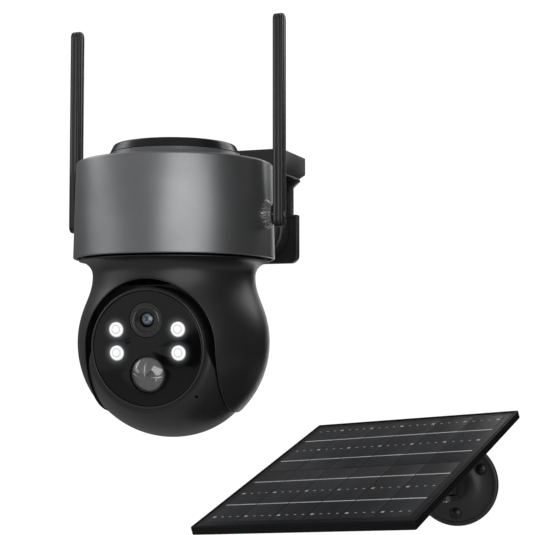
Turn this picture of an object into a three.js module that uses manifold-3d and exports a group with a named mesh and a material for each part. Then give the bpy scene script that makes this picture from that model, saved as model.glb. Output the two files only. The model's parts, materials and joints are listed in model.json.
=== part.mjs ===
// Solar-powered pan-and-tilt security camera on a wall bracket, with its separate solar panel.
// Millimetres. +Z is up, +Y points into the wall, and the camera looks along -Y with +X on its right
// as the viewer faces it. The origin is on the wall, on the axis of the camera's mounting hub.
import * as THREE from "three";
import { mergeVertices } from "three/addons/utils/BufferGeometryUtils.js";
import Module from "manifold-3d";

const wasm = await Module();
wasm.setup();

// ---- Driving dimensions -------------------------------------------------------------------------

const GAP = 0.3; // clearance between pieces that touch
const FINE = 44; // sides of a large round
const MEDIUM = 26;
const SMALL = 14; // sides of a small round

// Camera head. Heights inside the camera unit are taken from the centre of the tilting ball.
const HUB_HEIGHT = 72; // hub axis above the ball centre
const WALL_REACH = 136.8; // ball centre to wall
const SLEEVE = { bottomRadius: 55.05, topRadius: 53.85, bottom: 44.9, top: 97.2, fillet: 1.7, wall: 1.8 };
const HOUSING = { radius: 51.5, wall: 1.8, floor: 46, floorThickness: 2, top: 95, hubHole: 17.6 };
const CAP = { lidRadius: 49.2, baseRadius: 38.4, rimRadius: 34.6, crownRadius: 32.4, top: 107.8 };
const YOKE = { radius: 52.2, inner: 50.2, top: 44.2, flangeRadius: 52.3, waistRadius: 44.4, waist: 35.7 };
const SLOT = { halfWidth: 36, archCentre: -3.5 };
const SWEEP_RADIUS = 51.8; // hollow that the ball's front turns in
const YOKE_CEILING = 42.3; // underside of the yoke's top plate
const HUB = { radius: 16.8, bore: 13, top: 54.9 };
const BALL = { radius: 51.4, rearRadius: 49.3, drumRadius: 39.5, halfWidth: 34.9, wall: 2.1 };
const BALL_SHELF = 32.3; // flat top of the ball's front shell, just above the face
const BALL_SPLIT = -87; // seam between the ball's shells, in degrees below the way the face looks
const BALL_REAR_END = -167;
const REAR_COVER_EDGE = 22; // lower edge of the yoke's rear cover, in degrees below level
const REST_TILT = 5; // the face looks this many degrees down at rest
const REST_PAN = 4; // and this many degrees towards the solar panel's side
const FACE = { seat: 39, front: 40.6, glassRadius: 29.8, bezelRadius: 31.2, bezelFront: 41, bezelBore: 30.1 };
// Upper part of the face, clear of the yoke's arch. The channel beside it runs out between two heights.
const DRUM = { radius: 31.6, wall: 2, back: -24, channelFoot: -12, channelFull: 2 };
const LENS = { x: -0.3, z: 14.7, radius: 9.2, ringRadius: 6, glassRadius: 3.8 };
const PIR = { x: -0.3, z: -13.5, radius: 9.5, height: 4.2 };
const LED = { x: 17, upper: 9.7, lower: -2.5, radius: 4 };
const LIGHT_SENSOR = { x: -10.4, z: 3.9, radius: 1.4 };
const BEHIND_GLASS = -36.2; // back of the pieces set into the glass
const AXLE_RADIUS = 6;

// Antennas.
const ANTENNA = { x: 61, thickness: 5.8, width: 7.5, bottom: 61.3, top: 176.7, pivot: 68, pinRadius: 1.5 };
const COLLAR = { radius: 8.8, outer: 57.6 };

// Wall bracket of the camera. Distances y run from the ball centre towards the wall.
const PLATE = { front: 131.3, padHalf: 26.5, padBottom: 51, padTop: 82, corner: 5 };
const WEB = { half: 22.6, top: 105.1, flareHalf: 27, flareBottom: 99.5, flareTop: 103.2 };
const PLATE_SCREW = { x: 15, z: 96 };
const HOOD = { half: 30.5, front: 91.3, bottom: 103.3, top: 118.6, wall: 2.4, chamfer: 12, chamferRise: 4 };
const NECK = { radius: 15, flareStart: 110, frontRadius: 18.6, front: 116, backRadius: 20.8, back: 131 };
const REAR_FITTING = { x: 27, z: 56, radius: 5.2, end: 53 }; // inlet and button, either side of the neck
const INLET = { bore: 3.2, depth: 9 };

// Drive gears: module 1, so a pitch radius is half the number of teeth.
const PAN_GEAR = { teeth: 40, bore: 17.1, bottom: 50.5, thickness: 4 };
const PAN_PINION = { teeth: 12 };
const TILT_GEAR = { teeth: 24, from: 27.5, thickness: 3.5 };
const TILT_PINION = { teeth: 9, direction: -135 };

// Inside of the body and the ball.
const CELL = { radius: 9.1, half: 32.5, height: 85.5, offset: 9.6 };
const TRAY = { halfLength: 36, halfWidth: 30, floor: 74.6, thickness: 1.5, endHeight: 14 };
const BOARD_THICKNESS = 1.6;
const MAIN_BOARD = { bottom: 61, halfWidth: 30, front: -12, back: 38 };
const SPEAKER = { y: -12, radius: 12, magnetRadius: 6, bottom: -38, joint: -33, top: -29.5 };

// Solar unit.
const BASE = { x: 126.5, z: -156.7, radius: 25.8, flange: 3.4, stemRadius: 8, stemEnd: 19, screwCircle: 18 };
const ARM_PIVOT = new THREE.Vector3(BASE.x, -30, BASE.z);
const PANEL = { width: 131.3, depth: 147.1, thickness: 4.5, lip: 1.6, pocket: 2.1, pivotDrop: 19 };
const PANEL_CENTRE = new THREE.Vector3(95.2, -102.2, -139.5);
const PANEL_ACROSS = new THREE.Vector3(0.97, -0.226, 0.094).normalize();
const PANEL_NORMAL = new THREE.Vector3(-0.159, -0.289, 0.944);
PANEL_NORMAL.addScaledVector(PANEL_ACROSS, -PANEL_NORMAL.dot(PANEL_ACROSS)).normalize();
const EYE_RADIUS = 6;
const EYE_HALF = 3.5;
const EAR = { near: 4.5, far: 7.5 }; // the fork's ears, either side of an eye
const PIVOT_PIN = { radius: 2, headRadius: 4.6, headLength: 2.6 };
const BOSS = { radius: 16, thickness: 3.7, studRadius: 3, plateRadius: 12, plateThickness: 2.6 };
const JUNCTION_BOX = { halfWidth: 18, low: 38, high: 60, height: 8, leadHeight: 4.4 };
const GLAND = { radius: 3.4, bore: 1.7, end: 67 };

// ---- Materials ----------------------------------------------------------------------------------

function paint(color, roughness, metalness) {
  return new THREE.MeshStandardMaterial({ color, roughness, metalness });
}

const LOOKS = {
  gunmetal: paint(0x5c5d60, 0.38, 0.8),
  blackPlastic: paint(0x161617, 0.5, 0),
  glossBlack: paint(0x060607, 0.12, 0),
  darkPlastic: paint(0x262628, 0.55, 0),
  glass: paint(0x101418, 0.05, 0),
  ledWhite: paint(0xf4f8ff, 0.2, 0),
  fresnel: paint(0x8b8d90, 0.3, 0),
  board: paint(0x14482c, 0.5, 0),
  cell: paint(0x3f6f9a, 0.4, 0),
  steel: paint(0xa9abad, 0.35, 0.9),
  whiteGear: paint(0xdad8d0, 0.5, 0),
  rubber: paint(0x0d0d0d, 0.8, 0),
  solarGlass: paint(0x1b1c20, 0.25, 0),
};

// ---- Solids -------------------------------------------------------------------------------------

const radians = THREE.MathUtils.degToRad;

// Turns a closed geometry into a solid whose faces point outwards.
function solid(geometry) {
  const bare = geometry.index ? geometry.toNonIndexed() : geometry.clone();
  bare.deleteAttribute("normal");
  bare.deleteAttribute("uv");
  const merged = mergeVertices(bare, 1e-3);
  const corners = merged.getAttribute("position").array;
  const index = merged.index.array;
  const point = (i) => new THREE.Vector3().fromArray(corners, 3 * i);
  const kept = [];
  let volume = 0;
  for (let i = 0; i < index.length; i += 3) {
    const [a, b, c] = index.slice(i, i + 3);
    if (a === b || b === c || c === a) continue;
    volume += point(a).dot(point(b).cross(point(c)));
    kept.push(a, b, c);
  }
  if (volume < 0) kept.reverse();
  const data = { numProp: 3, vertProperties: corners, triVerts: new Uint32Array(kept) };
  return new wasm.Manifold(new wasm.Mesh(data));
}

function geometryOf(body) {
  const data = body.getMesh();
  const stride = data.numProp;
  const corners = new Float32Array(data.numVert * 3);
  for (let i = 0; i < data.numVert; i++) {
    corners.set(data.vertProperties.subarray(i * stride, i * stride + 3), i * 3);
  }
  const geometry = new THREE.BufferGeometry();
  geometry.setAttribute("position", new THREE.BufferAttribute(corners, 3));
  geometry.setIndex(new THREE.BufferAttribute(data.triVerts, 1));
  geometry.computeVertexNormals();
  return geometry;
}

const joined = (...bodies) => bodies.reduce((sum, body) => sum.add(body));
const cut = (body, ...tools) => tools.reduce((rest, tool) => rest.subtract(tool), body);
const common = (...bodies) => bodies.reduce((rest, body) => rest.intersect(body));

function named(name, body, look) {
  const mesh = new THREE.Mesh(geometryOf(body), LOOKS[look].clone());
  mesh.name = name;
  return mesh;
}

// Points of an arc in the plane, from one angle to the other in degrees.
function arc(centreU, centreV, radius, from, to, steps) {
  const points = [];
  for (let i = 0; i <= steps; i++) {
    const angle = radians(from + ((to - from) * i) / steps);
    points.push([centreU + radius * Math.cos(angle), centreV + radius * Math.sin(angle)]);
  }
  return points;
}

// A profile of [radius, height] points turned about the X, Y or Z axis.
function turned(axis, profile, sides = FINE) {
  const geometry = new THREE.LatheGeometry(
    profile.map(([radius, height]) => new THREE.Vector2(radius, height)),
    sides,
  );
  if (axis === "x") geometry.rotateZ(-Math.PI / 2);
  if (axis === "z") geometry.rotateX(Math.PI / 2);
  return geometry;
}

const closedLoop = (points) => [...points, points[0]];

// An outline extruded along an axis. It is given in (y, z) for X, in (x, z) for Y and in (x, y) for Z.
function prism(axis, outline, from, to) {
  const shape = new THREE.Shape(outline.map(([u, v]) => new THREE.Vector2(u, v)));
  const geometry = new THREE.ExtrudeGeometry(shape, { depth: to - from, bevelEnabled: false });
  const along = { x: [1, 0, 0], y: [0, -1, 0], z: [0, 0, 1] }[axis];
  const first = { x: [0, 1, 0], y: [1, 0, 0], z: [1, 0, 0] }[axis];
  const second = { x: [0, 0, 1], y: [0, 0, 1], z: [0, 1, 0] }[axis];
  const basis = new THREE.Matrix4().makeBasis(
    new THREE.Vector3(...first),
    new THREE.Vector3(...second),
    new THREE.Vector3(...along),
  );
  geometry.translate(0, 0, axis === "y" ? -to : from);
  return geometry.applyMatrix4(basis);
}

function block(minimum, maximum) {
  const size = maximum.map((value, i) => value - minimum[i]);
  const middle = maximum.map((value, i) => (value + minimum[i]) / 2);
  return new THREE.BoxGeometry(...size).translate(...middle);
}

// A rod or disc along an axis. The centre is given in the other two coordinates.
function rod(axis, radius, from, to, centre = [0, 0], sides = SMALL) {
  const geometry = turned(axis, [[0, from], [radius, from], [radius, to], [0, to]], sides);
  const [u, v] = centre;
  const offset = { x: [0, u, v], y: [u, 0, v], z: [u, v, 0] }[axis];
  return geometry.translate(...offset);
}

function rodBetween(start, end, radius, sides = SMALL) {
  const along = end.clone().sub(start);
  const geometry = new THREE.CylinderGeometry(radius, radius, along.length(), sides);
  const turn = new THREE.Quaternion().setFromUnitVectors(new THREE.Vector3(0, 1, 0), along.normalize());
  const middle = start.clone().add(end).multiplyScalar(0.5);
  return geometry.applyQuaternion(turn).translate(middle.x, middle.y, middle.z);
}

function ring(axis, outer, inner, from, to, sides = FINE) {
  return turned(axis, closedLoop([[inner, from], [outer, from], [outer, to], [inner, to]]), sides);
}

const ball = (radius) => turned("z", arc(0, 0, radius, -90, 90, 14), 28);

// A ball turned about X and cut flat at both sides.
function flattenedBall(radius, halfWidth, sides = FINE) {
  const edge = THREE.MathUtils.radToDeg(Math.asin(halfWidth / radius));
  const side = arc(0, 0, radius, -edge, edge, Math.round(sides / 4));
  return turned("x", [[0, -halfWidth], ...side, [0, halfWidth]], sides);
}

// Everything about the X axis between two angles, measured from -Y towards +Z in degrees.
function sector(from, to) {
  const reach = 90;
  const steps = Math.ceil(Math.abs(to - from) / 30);
  const rim = arc(0, 0, reach, 180 - from, 180 - to, steps);
  return solid(prism("x", [[0, 0], ...rim], -reach, reach));
}

function gearOutline(teeth, bore) {
  const pitch = teeth / 2;
  const levels = [[-0.3, -1.15], [-0.14, 0.8], [0.14, 0.8], [0.3, -1.15]];
  const outline = [];
  for (let tooth = 0; tooth < teeth; tooth++) {
    for (const [share, rise] of levels) {
      const angle = (2 * Math.PI * (tooth + share)) / teeth;
      outline.push([(pitch + rise) * Math.cos(angle), (pitch + rise) * Math.sin(angle)]);
    }
  }
  const shape = new THREE.Shape(outline.map(([u, v]) => new THREE.Vector2(u, v)));
  if (bore > 0) shape.holes.push(new THREE.Path().absarc(0, 0, bore, 0, 2 * Math.PI, true));
  return shape;
}

function gear(teeth, bore, thickness) {
  const options = { depth: thickness, bevelEnabled: false, curveSegments: 12 };
  return new THREE.ExtrudeGeometry(gearOutline(teeth, bore), options);
}

// ---- Camera body --------------------------------------------------------------------------------

// The saddle cut that lets a round fitting meet the outside of the sleeve.
function sleeveClearance() {
  return solid(rod("z", SLEEVE.bottomRadius + GAP, SLEEVE.bottom - 5, SLEEVE.top + 5, [0, 0], FINE));
}

// A round fitting that points straight out of the back of the body, on one side of the neck.
function rearFitting(profile, side) {
  return solid(turned("y", profile, SMALL).translate(side * REAR_FITTING.x, 0, REAR_FITTING.z));
}

function rearHole(side) {
  const radius = REAR_FITTING.radius + GAP;
  return rearFitting([[0, 30], [radius, 30], [radius, 60], [0, 60]], side);
}

const antennaSocketHole = (side) => pivotRod(side, 3, 45, 60);

function bodySleeve() {
  const { bottomRadius, topRadius, bottom, top, fillet, wall } = SLEEVE;
  const shoulder = arc(topRadius - fillet, top - fillet, fillet, 0, 90, 5);
  const outside = [[bottomRadius, bottom], ...shoulder, [CAP.lidRadius + GAP, top]];
  const inside = [
    [CAP.lidRadius + GAP, top - 1.6],
    [topRadius - wall - 0.4, top - 1.6],
    [topRadius - wall, top - 3.2],
    [bottomRadius - wall, bottom],
  ];
  const tube = solid(turned("z", closedLoop([...outside, ...inside])));
  const holes = [-1, 1].flatMap((side) => [rearHole(side), antennaSocketHole(side)]);
  return named("body_sleeve", cut(tube, ...holes), "gunmetal");
}

function innerHousing() {
  const { radius, wall, floor, floorThickness, top, hubHole } = HOUSING;
  const profile = [
    [hubHole, floor],
    [radius, floor],
    [radius, top],
    [radius - wall, top],
    [radius - wall, floor + floorThickness],
    [hubHole, floor + floorThickness],
  ];
  const bucket = solid(turned("z", closedLoop(profile)));
  const holes = [-1, 1].flatMap((side) => [rearHole(side), antennaSocketHole(side)]);
  return named("inner_housing", cut(bucket, ...holes), "blackPlastic");
}

// Lid of the body with the raised round cap, one moulding with a hollow underside.
function topCap() {
  const { lidRadius, baseRadius, rimRadius, crownRadius, top } = CAP;
  const lidTop = SLEEVE.top - 0.1;
  const lidBottom = HOUSING.top + GAP;
  const profile = [
    [lidRadius, lidBottom],
    [lidRadius, lidTop],
    [baseRadius, lidTop],
    [rimRadius + 1.8, lidTop + 4],
    [rimRadius, top - 2.6],
    [rimRadius - 0.9, top - 0.8],
    [crownRadius, top - 0.1],
    [0, top],
    [0, top - 2],
    [crownRadius - 1.5, top - 2.2],
    [baseRadius - 3.5, lidBottom],
  ];
  return named("top_cap", solid(turned("z", closedLoop(profile))), "glossBlack");
}

function batteryCell(number, y) {
  const { radius, half, height } = CELL;
  const can = solid(rod("x", radius, -half, half, [y, height], 20));
  const button = solid(rod("x", radius / 3, half - 0.5, half + 1.5, [y, height], 12));
  return named("battery_cell_" + number, joined(can, button), "cell");
}

function batteryTray() {
  const { halfLength, halfWidth, floor, thickness, endHeight } = TRAY;
  const base = solid(block([-halfLength, -halfWidth, floor], [halfLength, halfWidth, floor + thickness]));
  const ends = [-halfLength, halfLength - 1.3].map((x) =>
    solid(block([x, 2 - halfWidth, floor + 0.5], [x + 1.3, halfWidth - 2, floor + endHeight])),
  );
  return named("battery_tray", joined(base, ...ends), "darkPlastic");
}

function mainBoard() {
  const { bottom, halfWidth, front, back } = MAIN_BOARD;
  const plate = solid(block([-halfWidth, front, bottom], [halfWidth, back, bottom + BOARD_THICKNESS]));
  const chips = [
    [-20, 0, 14, 14],
    [4, -4, 18, 12],
    [-16, 22, 10, 8],
    [8, 18, 12, 14],
  ].map(([x, y, width, depth]) => solid(block([x, y, bottom + 1], [x + width, y + depth, bottom + 3.6])));
  return named("main_board", joined(plate, ...chips), "board");
}

const panAxisDistance = () => (PAN_GEAR.teeth + PAN_PINION.teeth) / 2;

function panMotor() {
  const y = -panAxisDistance();
  const can = solid(rod("z", 14, 56, 74, [0, y], MEDIUM));
  const boss = solid(rod("z", 4.5, 55, 56.5, [0, y]));
  const shaft = solid(rod("z", 2.5, PAN_GEAR.bottom, 55.5, [0, y]));
  return named("pan_motor", joined(can, boss, shaft), "steel");
}

function panPinion() {
  const wheel = gear(PAN_PINION.teeth, 2.5 + GAP, PAN_GEAR.thickness);
  wheel.rotateZ(Math.PI / 2 + Math.PI / PAN_PINION.teeth);
  wheel.translate(0, -panAxisDistance(), PAN_GEAR.bottom);
  return named("pan_pinion", solid(wheel), "whiteGear");
}

// A tooth of the ring gear faces the pinion at rest, whichever way the head looks.
function panRingGear() {
  const wheel = gear(PAN_GEAR.teeth, PAN_GEAR.bore, PAN_GEAR.thickness);
  wheel.rotateZ(-Math.PI / 2 - radians(REST_PAN));
  wheel.translate(0, 0, PAN_GEAR.bottom);
  return named("pan_ring_gear", solid(wheel), "whiteGear");
}

// Round socket that the panel's lead plugs into.
function chargeInlet() {
  const { radius, end } = REAR_FITTING;
  const { bore, depth } = INLET;
  const profile = [[0, 38], [radius, 38], [radius, end], [bore, end], [bore, end - depth], [0, end - depth]];
  return named("charge_inlet", rearFitting(profile, 1), "rubber");
}

function powerButton() {
  const { radius, end } = REAR_FITTING;
  const profile = [[0, 40], [radius, 40], [radius, end - 1.2], [radius - 0.8, end - 0.3], [0, end]];
  return named("power_button", rearFitting(profile, -1), "rubber");
}

// ---- Antennas -----------------------------------------------------------------------------------

const sideName = (side) => (side < 0 ? "left" : "right");

// A rod along X on one side of the camera, at the height of the antennas' pivots.
function pivotRod(side, radius, from, to, sides = SMALL) {
  const ends = [side * from, side * to].sort((a, b) => a - b);
  return solid(rod("x", radius, ...ends, [0, ANTENNA.pivot], sides));
}

function antennaCollar(side) {
  const disc = pivotRod(side, COLLAR.radius, 50, COLLAR.outer, MEDIUM);
  const pinHole = pivotRod(side, ANTENNA.pinRadius + GAP, 45, 60, 12);
  return named("antenna_collar_" + sideName(side), cut(disc, sleeveClearance(), pinHole), "darkPlastic");
}

function antennaPin(side) {
  const pin = pivotRod(side, ANTENNA.pinRadius, 55.2, ANTENNA.x + ANTENNA.thickness / 2, 12);
  return named("antenna_pin_" + sideName(side), pin, "steel");
}

function antenna(side) {
  const { x, thickness, width, bottom, top, pinRadius } = ANTENNA;
  const round = width / 2;
  const outline = [...arc(0, bottom + round, round, 180, 360, 10), ...arc(0, top - round, round, 0, 180, 10)];
  const bar = solid(prism("x", outline, side * x - thickness / 2, side * x + thickness / 2));
  const hole = pivotRod(side, pinRadius + GAP, x - thickness, x + thickness, 12);
  return named("antenna_" + sideName(side), cut(bar, hole), "blackPlastic");
}

// ---- Wall bracket of the camera -----------------------------------------------------------------

function wallPlate() {
  const { front, padHalf, padBottom, padTop, corner } = PLATE;
  const rightSide = [
    ...arc(padHalf - corner, padBottom + corner, corner, -90, 0, 5),
    [padHalf, padTop],
    [WEB.half, padTop],
    [WEB.half, WEB.flareBottom],
    [WEB.flareHalf, WEB.flareTop],
    [WEB.flareHalf, WEB.top],
  ];
  const leftSide = rightSide.map(([x, z]) => [-x, z]).reverse();
  const plate = solid(prism("y", [...rightSide, ...leftSide], front, WALL_REACH));
  const screwHoles = [-1, 1].map((side) =>
    solid(rod("y", 2.3, front - 5, WALL_REACH + 5, [side * PLATE_SCREW.x, PLATE_SCREW.z])),
  );
  return named("wall_plate", cut(plate, ...screwHoles), "blackPlastic");
}

function wallScrew(side) {
  const at = [side * PLATE_SCREW.x, PLATE_SCREW.z];
  const head = solid(rod("y", 4, PLATE.front - 2.6, PLATE.front - GAP, at));
  const shank = solid(rod("y", 2, PLATE.front - 1, WALL_REACH - GAP, at, 12));
  return named("wall_screw_" + sideName(side), joined(head, shank), "steel");
}

function bracketHood() {
  const { half, front, bottom, top, wall, chamfer, chamferRise } = HOOD;
  const outline = [
    [front, bottom],
    [WALL_REACH - chamfer, bottom],
    [WALL_REACH, bottom + chamferRise],
    [WALL_REACH, top],
    [front + 1.5, top],
    [front, top - 1.5],
  ];
  const shell = solid(prism("x", outline, -half, half));
  const hollowFront = [-half + wall, front + wall, bottom - 5];
  const hollowBack = [half - wall, WALL_REACH - chamfer - 2, top - wall];
  const hollow = solid(block(hollowFront, hollowBack));
  return named("bracket_hood", cut(shell, hollow), "blackPlastic");
}

// Round arm from the back of the body to the wall plate.
function bracketNeck() {
  const { radius, flareStart, frontRadius, front, backRadius, back } = NECK;
  const profile = [
    [0, 45],
    [radius, 45],
    [radius, flareStart],
    [frontRadius - 1.2, front - 2],
    [frontRadius, front],
    [backRadius, back - 3],
    [backRadius, back],
    [0, back],
  ];
  const arm = solid(turned("y", profile, MEDIUM).translate(0, 0, HUB_HEIGHT));
  return named("bracket_neck", cut(arm, sleeveClearance()), "blackPlastic");
}

// ---- Yoke: turns about the vertical axis --------------------------------------------------------

// Outside of the yoke as a full turned shape: flange, concave neck and ball-shaped cheeks.
function yokeForm() {
  const { radius, top, flangeRadius, waistRadius, waist } = YOKE;
  const sweep = flangeRadius - waistRadius;
  const joinAngle = 14.2;
  const profile = [
    [0, top],
    [flangeRadius, top],
    ...arc(flangeRadius, waist, sweep, 90, 180, 6),
    [45.0, 29.5],
    [46.8, 24],
    [49.1, 18.6],
    ...arc(0, 0, radius, joinAngle, -90, 16),
  ];
  return solid(turned("z", profile));
}

function slotPrism(inset) {
  const half = SLOT.halfWidth - inset;
  const outline = [[-half, -70], [half, -70], ...arc(0, SLOT.archCentre, half, 0, 180, 20)];
  return solid(prism("y", outline, -70, 70));
}

const belowCeiling = () => solid(block([-60, -60, -60], [60, 60, YOKE_CEILING]));

function yokeShell() {
  const { radius, bore, top } = HUB;
  const hollow = joined(solid(ball(YOKE.inner)), solid(flattenedBall(SWEEP_RADIUS, SLOT.halfWidth, 36)));
  const shell = cut(yokeForm(), common(hollow, belowCeiling()), slotPrism(0));
  const stem = solid(rod("z", radius, YOKE_CEILING + 0.5, top, [0, 0], MEDIUM));
  const wireway = solid(rod("z", bore, 30, top + 5, [0, 0], MEDIUM));
  return named("yoke_shell", cut(joined(shell, stem), wireway), "blackPlastic");
}

// Cover that closes the slot at the back of the yoke.
function yokeRearCover() {
  const zone = sector(-180 + REAR_COVER_EDGE, -90 - 160);
  const behind = solid(block([-60, 0, -60], [60, 60, YOKE_CEILING]));
  const plate = common(yokeForm(), slotPrism(GAP), behind, zone);
  return named("yoke_rear_cover", cut(plate, solid(ball(YOKE.inner + 0.1))), "blackPlastic");
}

// Plate that closes a cheek towards the ball and carries the tilt axle.
function cheekPlate(side) {
  const profile = [[AXLE_RADIUS + GAP, 36.3], [33.8, 36.3], [32.1, 37.7], [AXLE_RADIUS + GAP, 37.7]];
  const plate = turned("x", closedLoop(profile.map(([radius, x]) => [radius, side * x])), MEDIUM);
  return named("cheek_plate_" + sideName(side), solid(plate), "darkPlastic");
}

// Plain stub axle on the left.
function tiltAxle() {
  const flange = solid(rod("x", 9, -40.2, -38.1, [0, 0], MEDIUM));
  const stub = solid(rod("x", AXLE_RADIUS, -38.5, -29, [0, 0], MEDIUM));
  return named("tilt_axle", joined(flange, stub), "steel");
}

// Stub axle on the right with the fixed gear that the ball's pinion rolls round. The gear's first tooth
// points at the pinion, whose place turns with the ball's rest tilt.
function tiltGear() {
  const { teeth, from, thickness } = TILT_GEAR;
  const toPinion = radians(-90 - (TILT_PINION.direction - REST_TILT));
  const wheel = solid(gear(teeth, 0, thickness).rotateZ(toPinion).rotateY(Math.PI / 2).translate(from, 0, 0));
  const hub = solid(rod("x", AXLE_RADIUS, from + thickness - 0.5, 38.5, [0, 0], MEDIUM));
  const flange = solid(rod("x", 9, 38.1, 40.2, [0, 0], MEDIUM));
  return named("tilt_gear", joined(wheel, hub, flange), "whiteGear");
}

// ---- Ball: tilts about the X axis ---------------------------------------------------------------

const axleHole = () => solid(rod("x", AXLE_RADIUS + 0.5, -60, 60, [0, 0], MEDIUM));

// Everything beside the upper half of the face, in front of a depth and outside a radius. It narrows
// downwards until it leaves the ball's side.
function besideFace(radius, back) {
  const inset = DRUM.radius - radius;
  const foot = DRUM.channelFoot - inset;
  const side = BALL.halfWidth + GAP - inset;
  const rightSide = [
    [radius - 0.6, DRUM.channelFull - inset],
    [side, foot],
    [60, foot],
    [60, 60],
  ];
  const leftSide = rightSide.map(([x, z]) => [-x, z]).reverse();
  const zone = solid(prism("y", [...rightSide, ...leftSide], -60, back));
  return cut(zone, solid(rod("y", radius, -70, 0, [0, 0], FINE)));
}

function ballFrontShell() {
  const { radius, halfWidth, wall } = BALL;
  const outer = common(
    solid(flattenedBall(radius, halfWidth)),
    solid(block([-60, -FACE.seat, -60], [60, 60, BALL_SHELF])),
    sector(BALL_SPLIT, BALL_SPLIT + 180),
  );
  const hollow = common(
    solid(flattenedBall(radius - wall, halfWidth - wall, MEDIUM)),
    solid(block([-60, -FACE.seat + 2, -60], [60, 60, BALL_SHELF - 2])),
  );
  const inner = cut(hollow, besideFace(DRUM.radius - DRUM.wall, DRUM.back + DRUM.wall));
  const faceHole = solid(rod("y", 27.5, -60, -30, [0, 0], MEDIUM));
  const channel = besideFace(DRUM.radius, DRUM.back);
  return named("ball_front_shell", cut(outer, inner, channel, faceHole, axleHole()), "blackPlastic");
}

// Rear of the ball: a slightly smaller shell below and a drum above, which turns under the neck.
function ballRearShell() {
  const { rearRadius, drumRadius, halfWidth, wall } = BALL;
  const form = (inset, end, sides) => {
    const half = halfWidth - inset;
    const round = solid(flattenedBall(rearRadius - inset, half, sides));
    const drum = solid(rod("x", drumRadius - inset, -half, half, [0, 0], sides));
    return common(round, joined(sector(end, BALL_SPLIT + 3), drum));
  };
  const outer = form(0, BALL_REAR_END, FINE);
  const inner = form(wall, BALL_REAR_END + 3, MEDIUM);
  const frontZone = common(
    sector(BALL_SPLIT - 0.4, BALL_SPLIT + 180.4),
    solid(block([-60, -60, -60], [60, 60, BALL_SHELF + GAP])),
  );
  return named("ball_rear_shell", cut(outer, inner, frontZone, axleHole()), "blackPlastic");
}

function faceBezel() {
  const { seat, bezelFront, bezelRadius, bezelBore } = FACE;
  const profile = [
    [bezelBore, -seat - GAP],
    [bezelRadius, -seat - GAP],
    [bezelRadius, -bezelFront + 0.5],
    [bezelRadius - 0.4, -bezelFront],
    [bezelBore, -bezelFront],
  ];
  return named("face_bezel", solid(turned("y", closedLoop(profile))), "darkPlastic");
}

const ledPlaces = () => [LED.upper, LED.lower].flatMap((z) => [[-LED.x, z], [LED.x, z]]);

function faceGlass() {
  const { seat, front, glassRadius } = FACE;
  const disc = solid(rod("y", glassRadius, -front, -seat - GAP, [0, 0], FINE));
  const holes = [
    [LENS.x, LENS.z, LENS.radius + GAP, 24],
    [PIR.x, PIR.z, PIR.radius + GAP, 24],
    [LIGHT_SENSOR.x, LIGHT_SENSOR.z, LIGHT_SENSOR.radius + GAP, 8],
    ...ledPlaces().map(([x, z]) => [x, z, LED.radius + GAP, SMALL]),
  ];
  const tools = holes.map(([x, z, radius, sides]) => solid(rod("y", radius, -60, -30, [x, z], sides)));
  return named("face_glass", cut(disc, ...tools), "glossBlack");
}

function lensBarrel() {
  const { x, z, radius, ringRadius, glassRadius } = LENS;
  const front = -FACE.front;
  const profile = [
    [radius, front],
    [radius, -24],
    [glassRadius + GAP, -24],
    [glassRadius + GAP, -37],
    [ringRadius - 0.8, -37.6],
    [ringRadius, -39],
    [radius - 1.4, -39.8],
    [radius - 0.8, front],
  ];
  return named("lens_barrel", solid(turned("y", closedLoop(profile), 24).translate(x, 0, z)), "glossBlack");
}

function lensGlass() {
  const dome = arc(0, -31.6, 6.6, -90, -55, 4);
  const profile = [...dome, [LENS.glassRadius, -26], [0, -26]];
  return named("lens_glass", solid(turned("y", profile, SMALL).translate(LENS.x, 0, LENS.z)), "glass");
}

function sensorBoard() {
  const { x, z } = LENS;
  const plate = solid(block([x - 12, -20 - BOARD_THICKNESS, z - 12], [x + 12, -20, z + 12]));
  const holder = solid(block([x - 7, -23.6, z - 7], [x + 7, -21, z + 7]));
  return named("sensor_board", joined(plate, holder), "board");
}

function ledLens(number, x, z) {
  const front = -FACE.front;
  const profile = [
    [0, front - 0.2],
    [LED.radius - 0.8, front - 0.1],
    [LED.radius, front + 0.4],
    [LED.radius, BEHIND_GLASS],
    [0, BEHIND_GLASS],
  ];
  return named("led_lens_" + number, solid(turned("y", profile, SMALL).translate(x, 0, z)), "ledWhite");
}

// Board behind the glass that carries the four lamps, with openings for the lens and the motion sensor.
function ledBoard() {
  const disc = solid(rod("y", 26.5, -35.8, -34.4, [0, 0], MEDIUM));
  const lensHole = solid(rod("y", LENS.radius + 0.5, -60, -30, [LENS.x, LENS.z], 24));
  const sensorHole = solid(rod("y", PIR.radius + 0.5, -60, -30, [PIR.x, PIR.z], 24));
  return named("led_board", cut(disc, lensHole, sensorHole), "board");
}

function pirLens() {
  const { x, z, radius, height } = PIR;
  const base = -FACE.front + 1.2;
  const domeRadius = (radius * radius + height * height) / (2 * height);
  const rise = THREE.MathUtils.radToDeg(Math.asin(radius / domeRadius));
  const dome = arc(0, base - height + domeRadius, domeRadius, -90, -90 + rise, 6);
  const profile = [...dome, [radius, BEHIND_GLASS], [0, BEHIND_GLASS]];
  return named("pir_lens", solid(turned("y", profile, 24).translate(x, 0, z)), "fresnel");
}

function lightSensor() {
  const { x, z, radius } = LIGHT_SENSOR;
  return named("light_sensor", solid(rod("y", radius, -FACE.front, BEHIND_GLASS, [x, z], 8)), "glass");
}

function speaker() {
  const { y, radius, magnetRadius, bottom, joint, top } = SPEAKER;
  const magnet = solid(rod("z", magnetRadius, joint, top, [0, y]));
  const cone = solid(rod("z", radius, bottom, joint + 0.2, [0, y], 24));
  return named("speaker", joined(magnet, cone), "darkPlastic");
}

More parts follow.
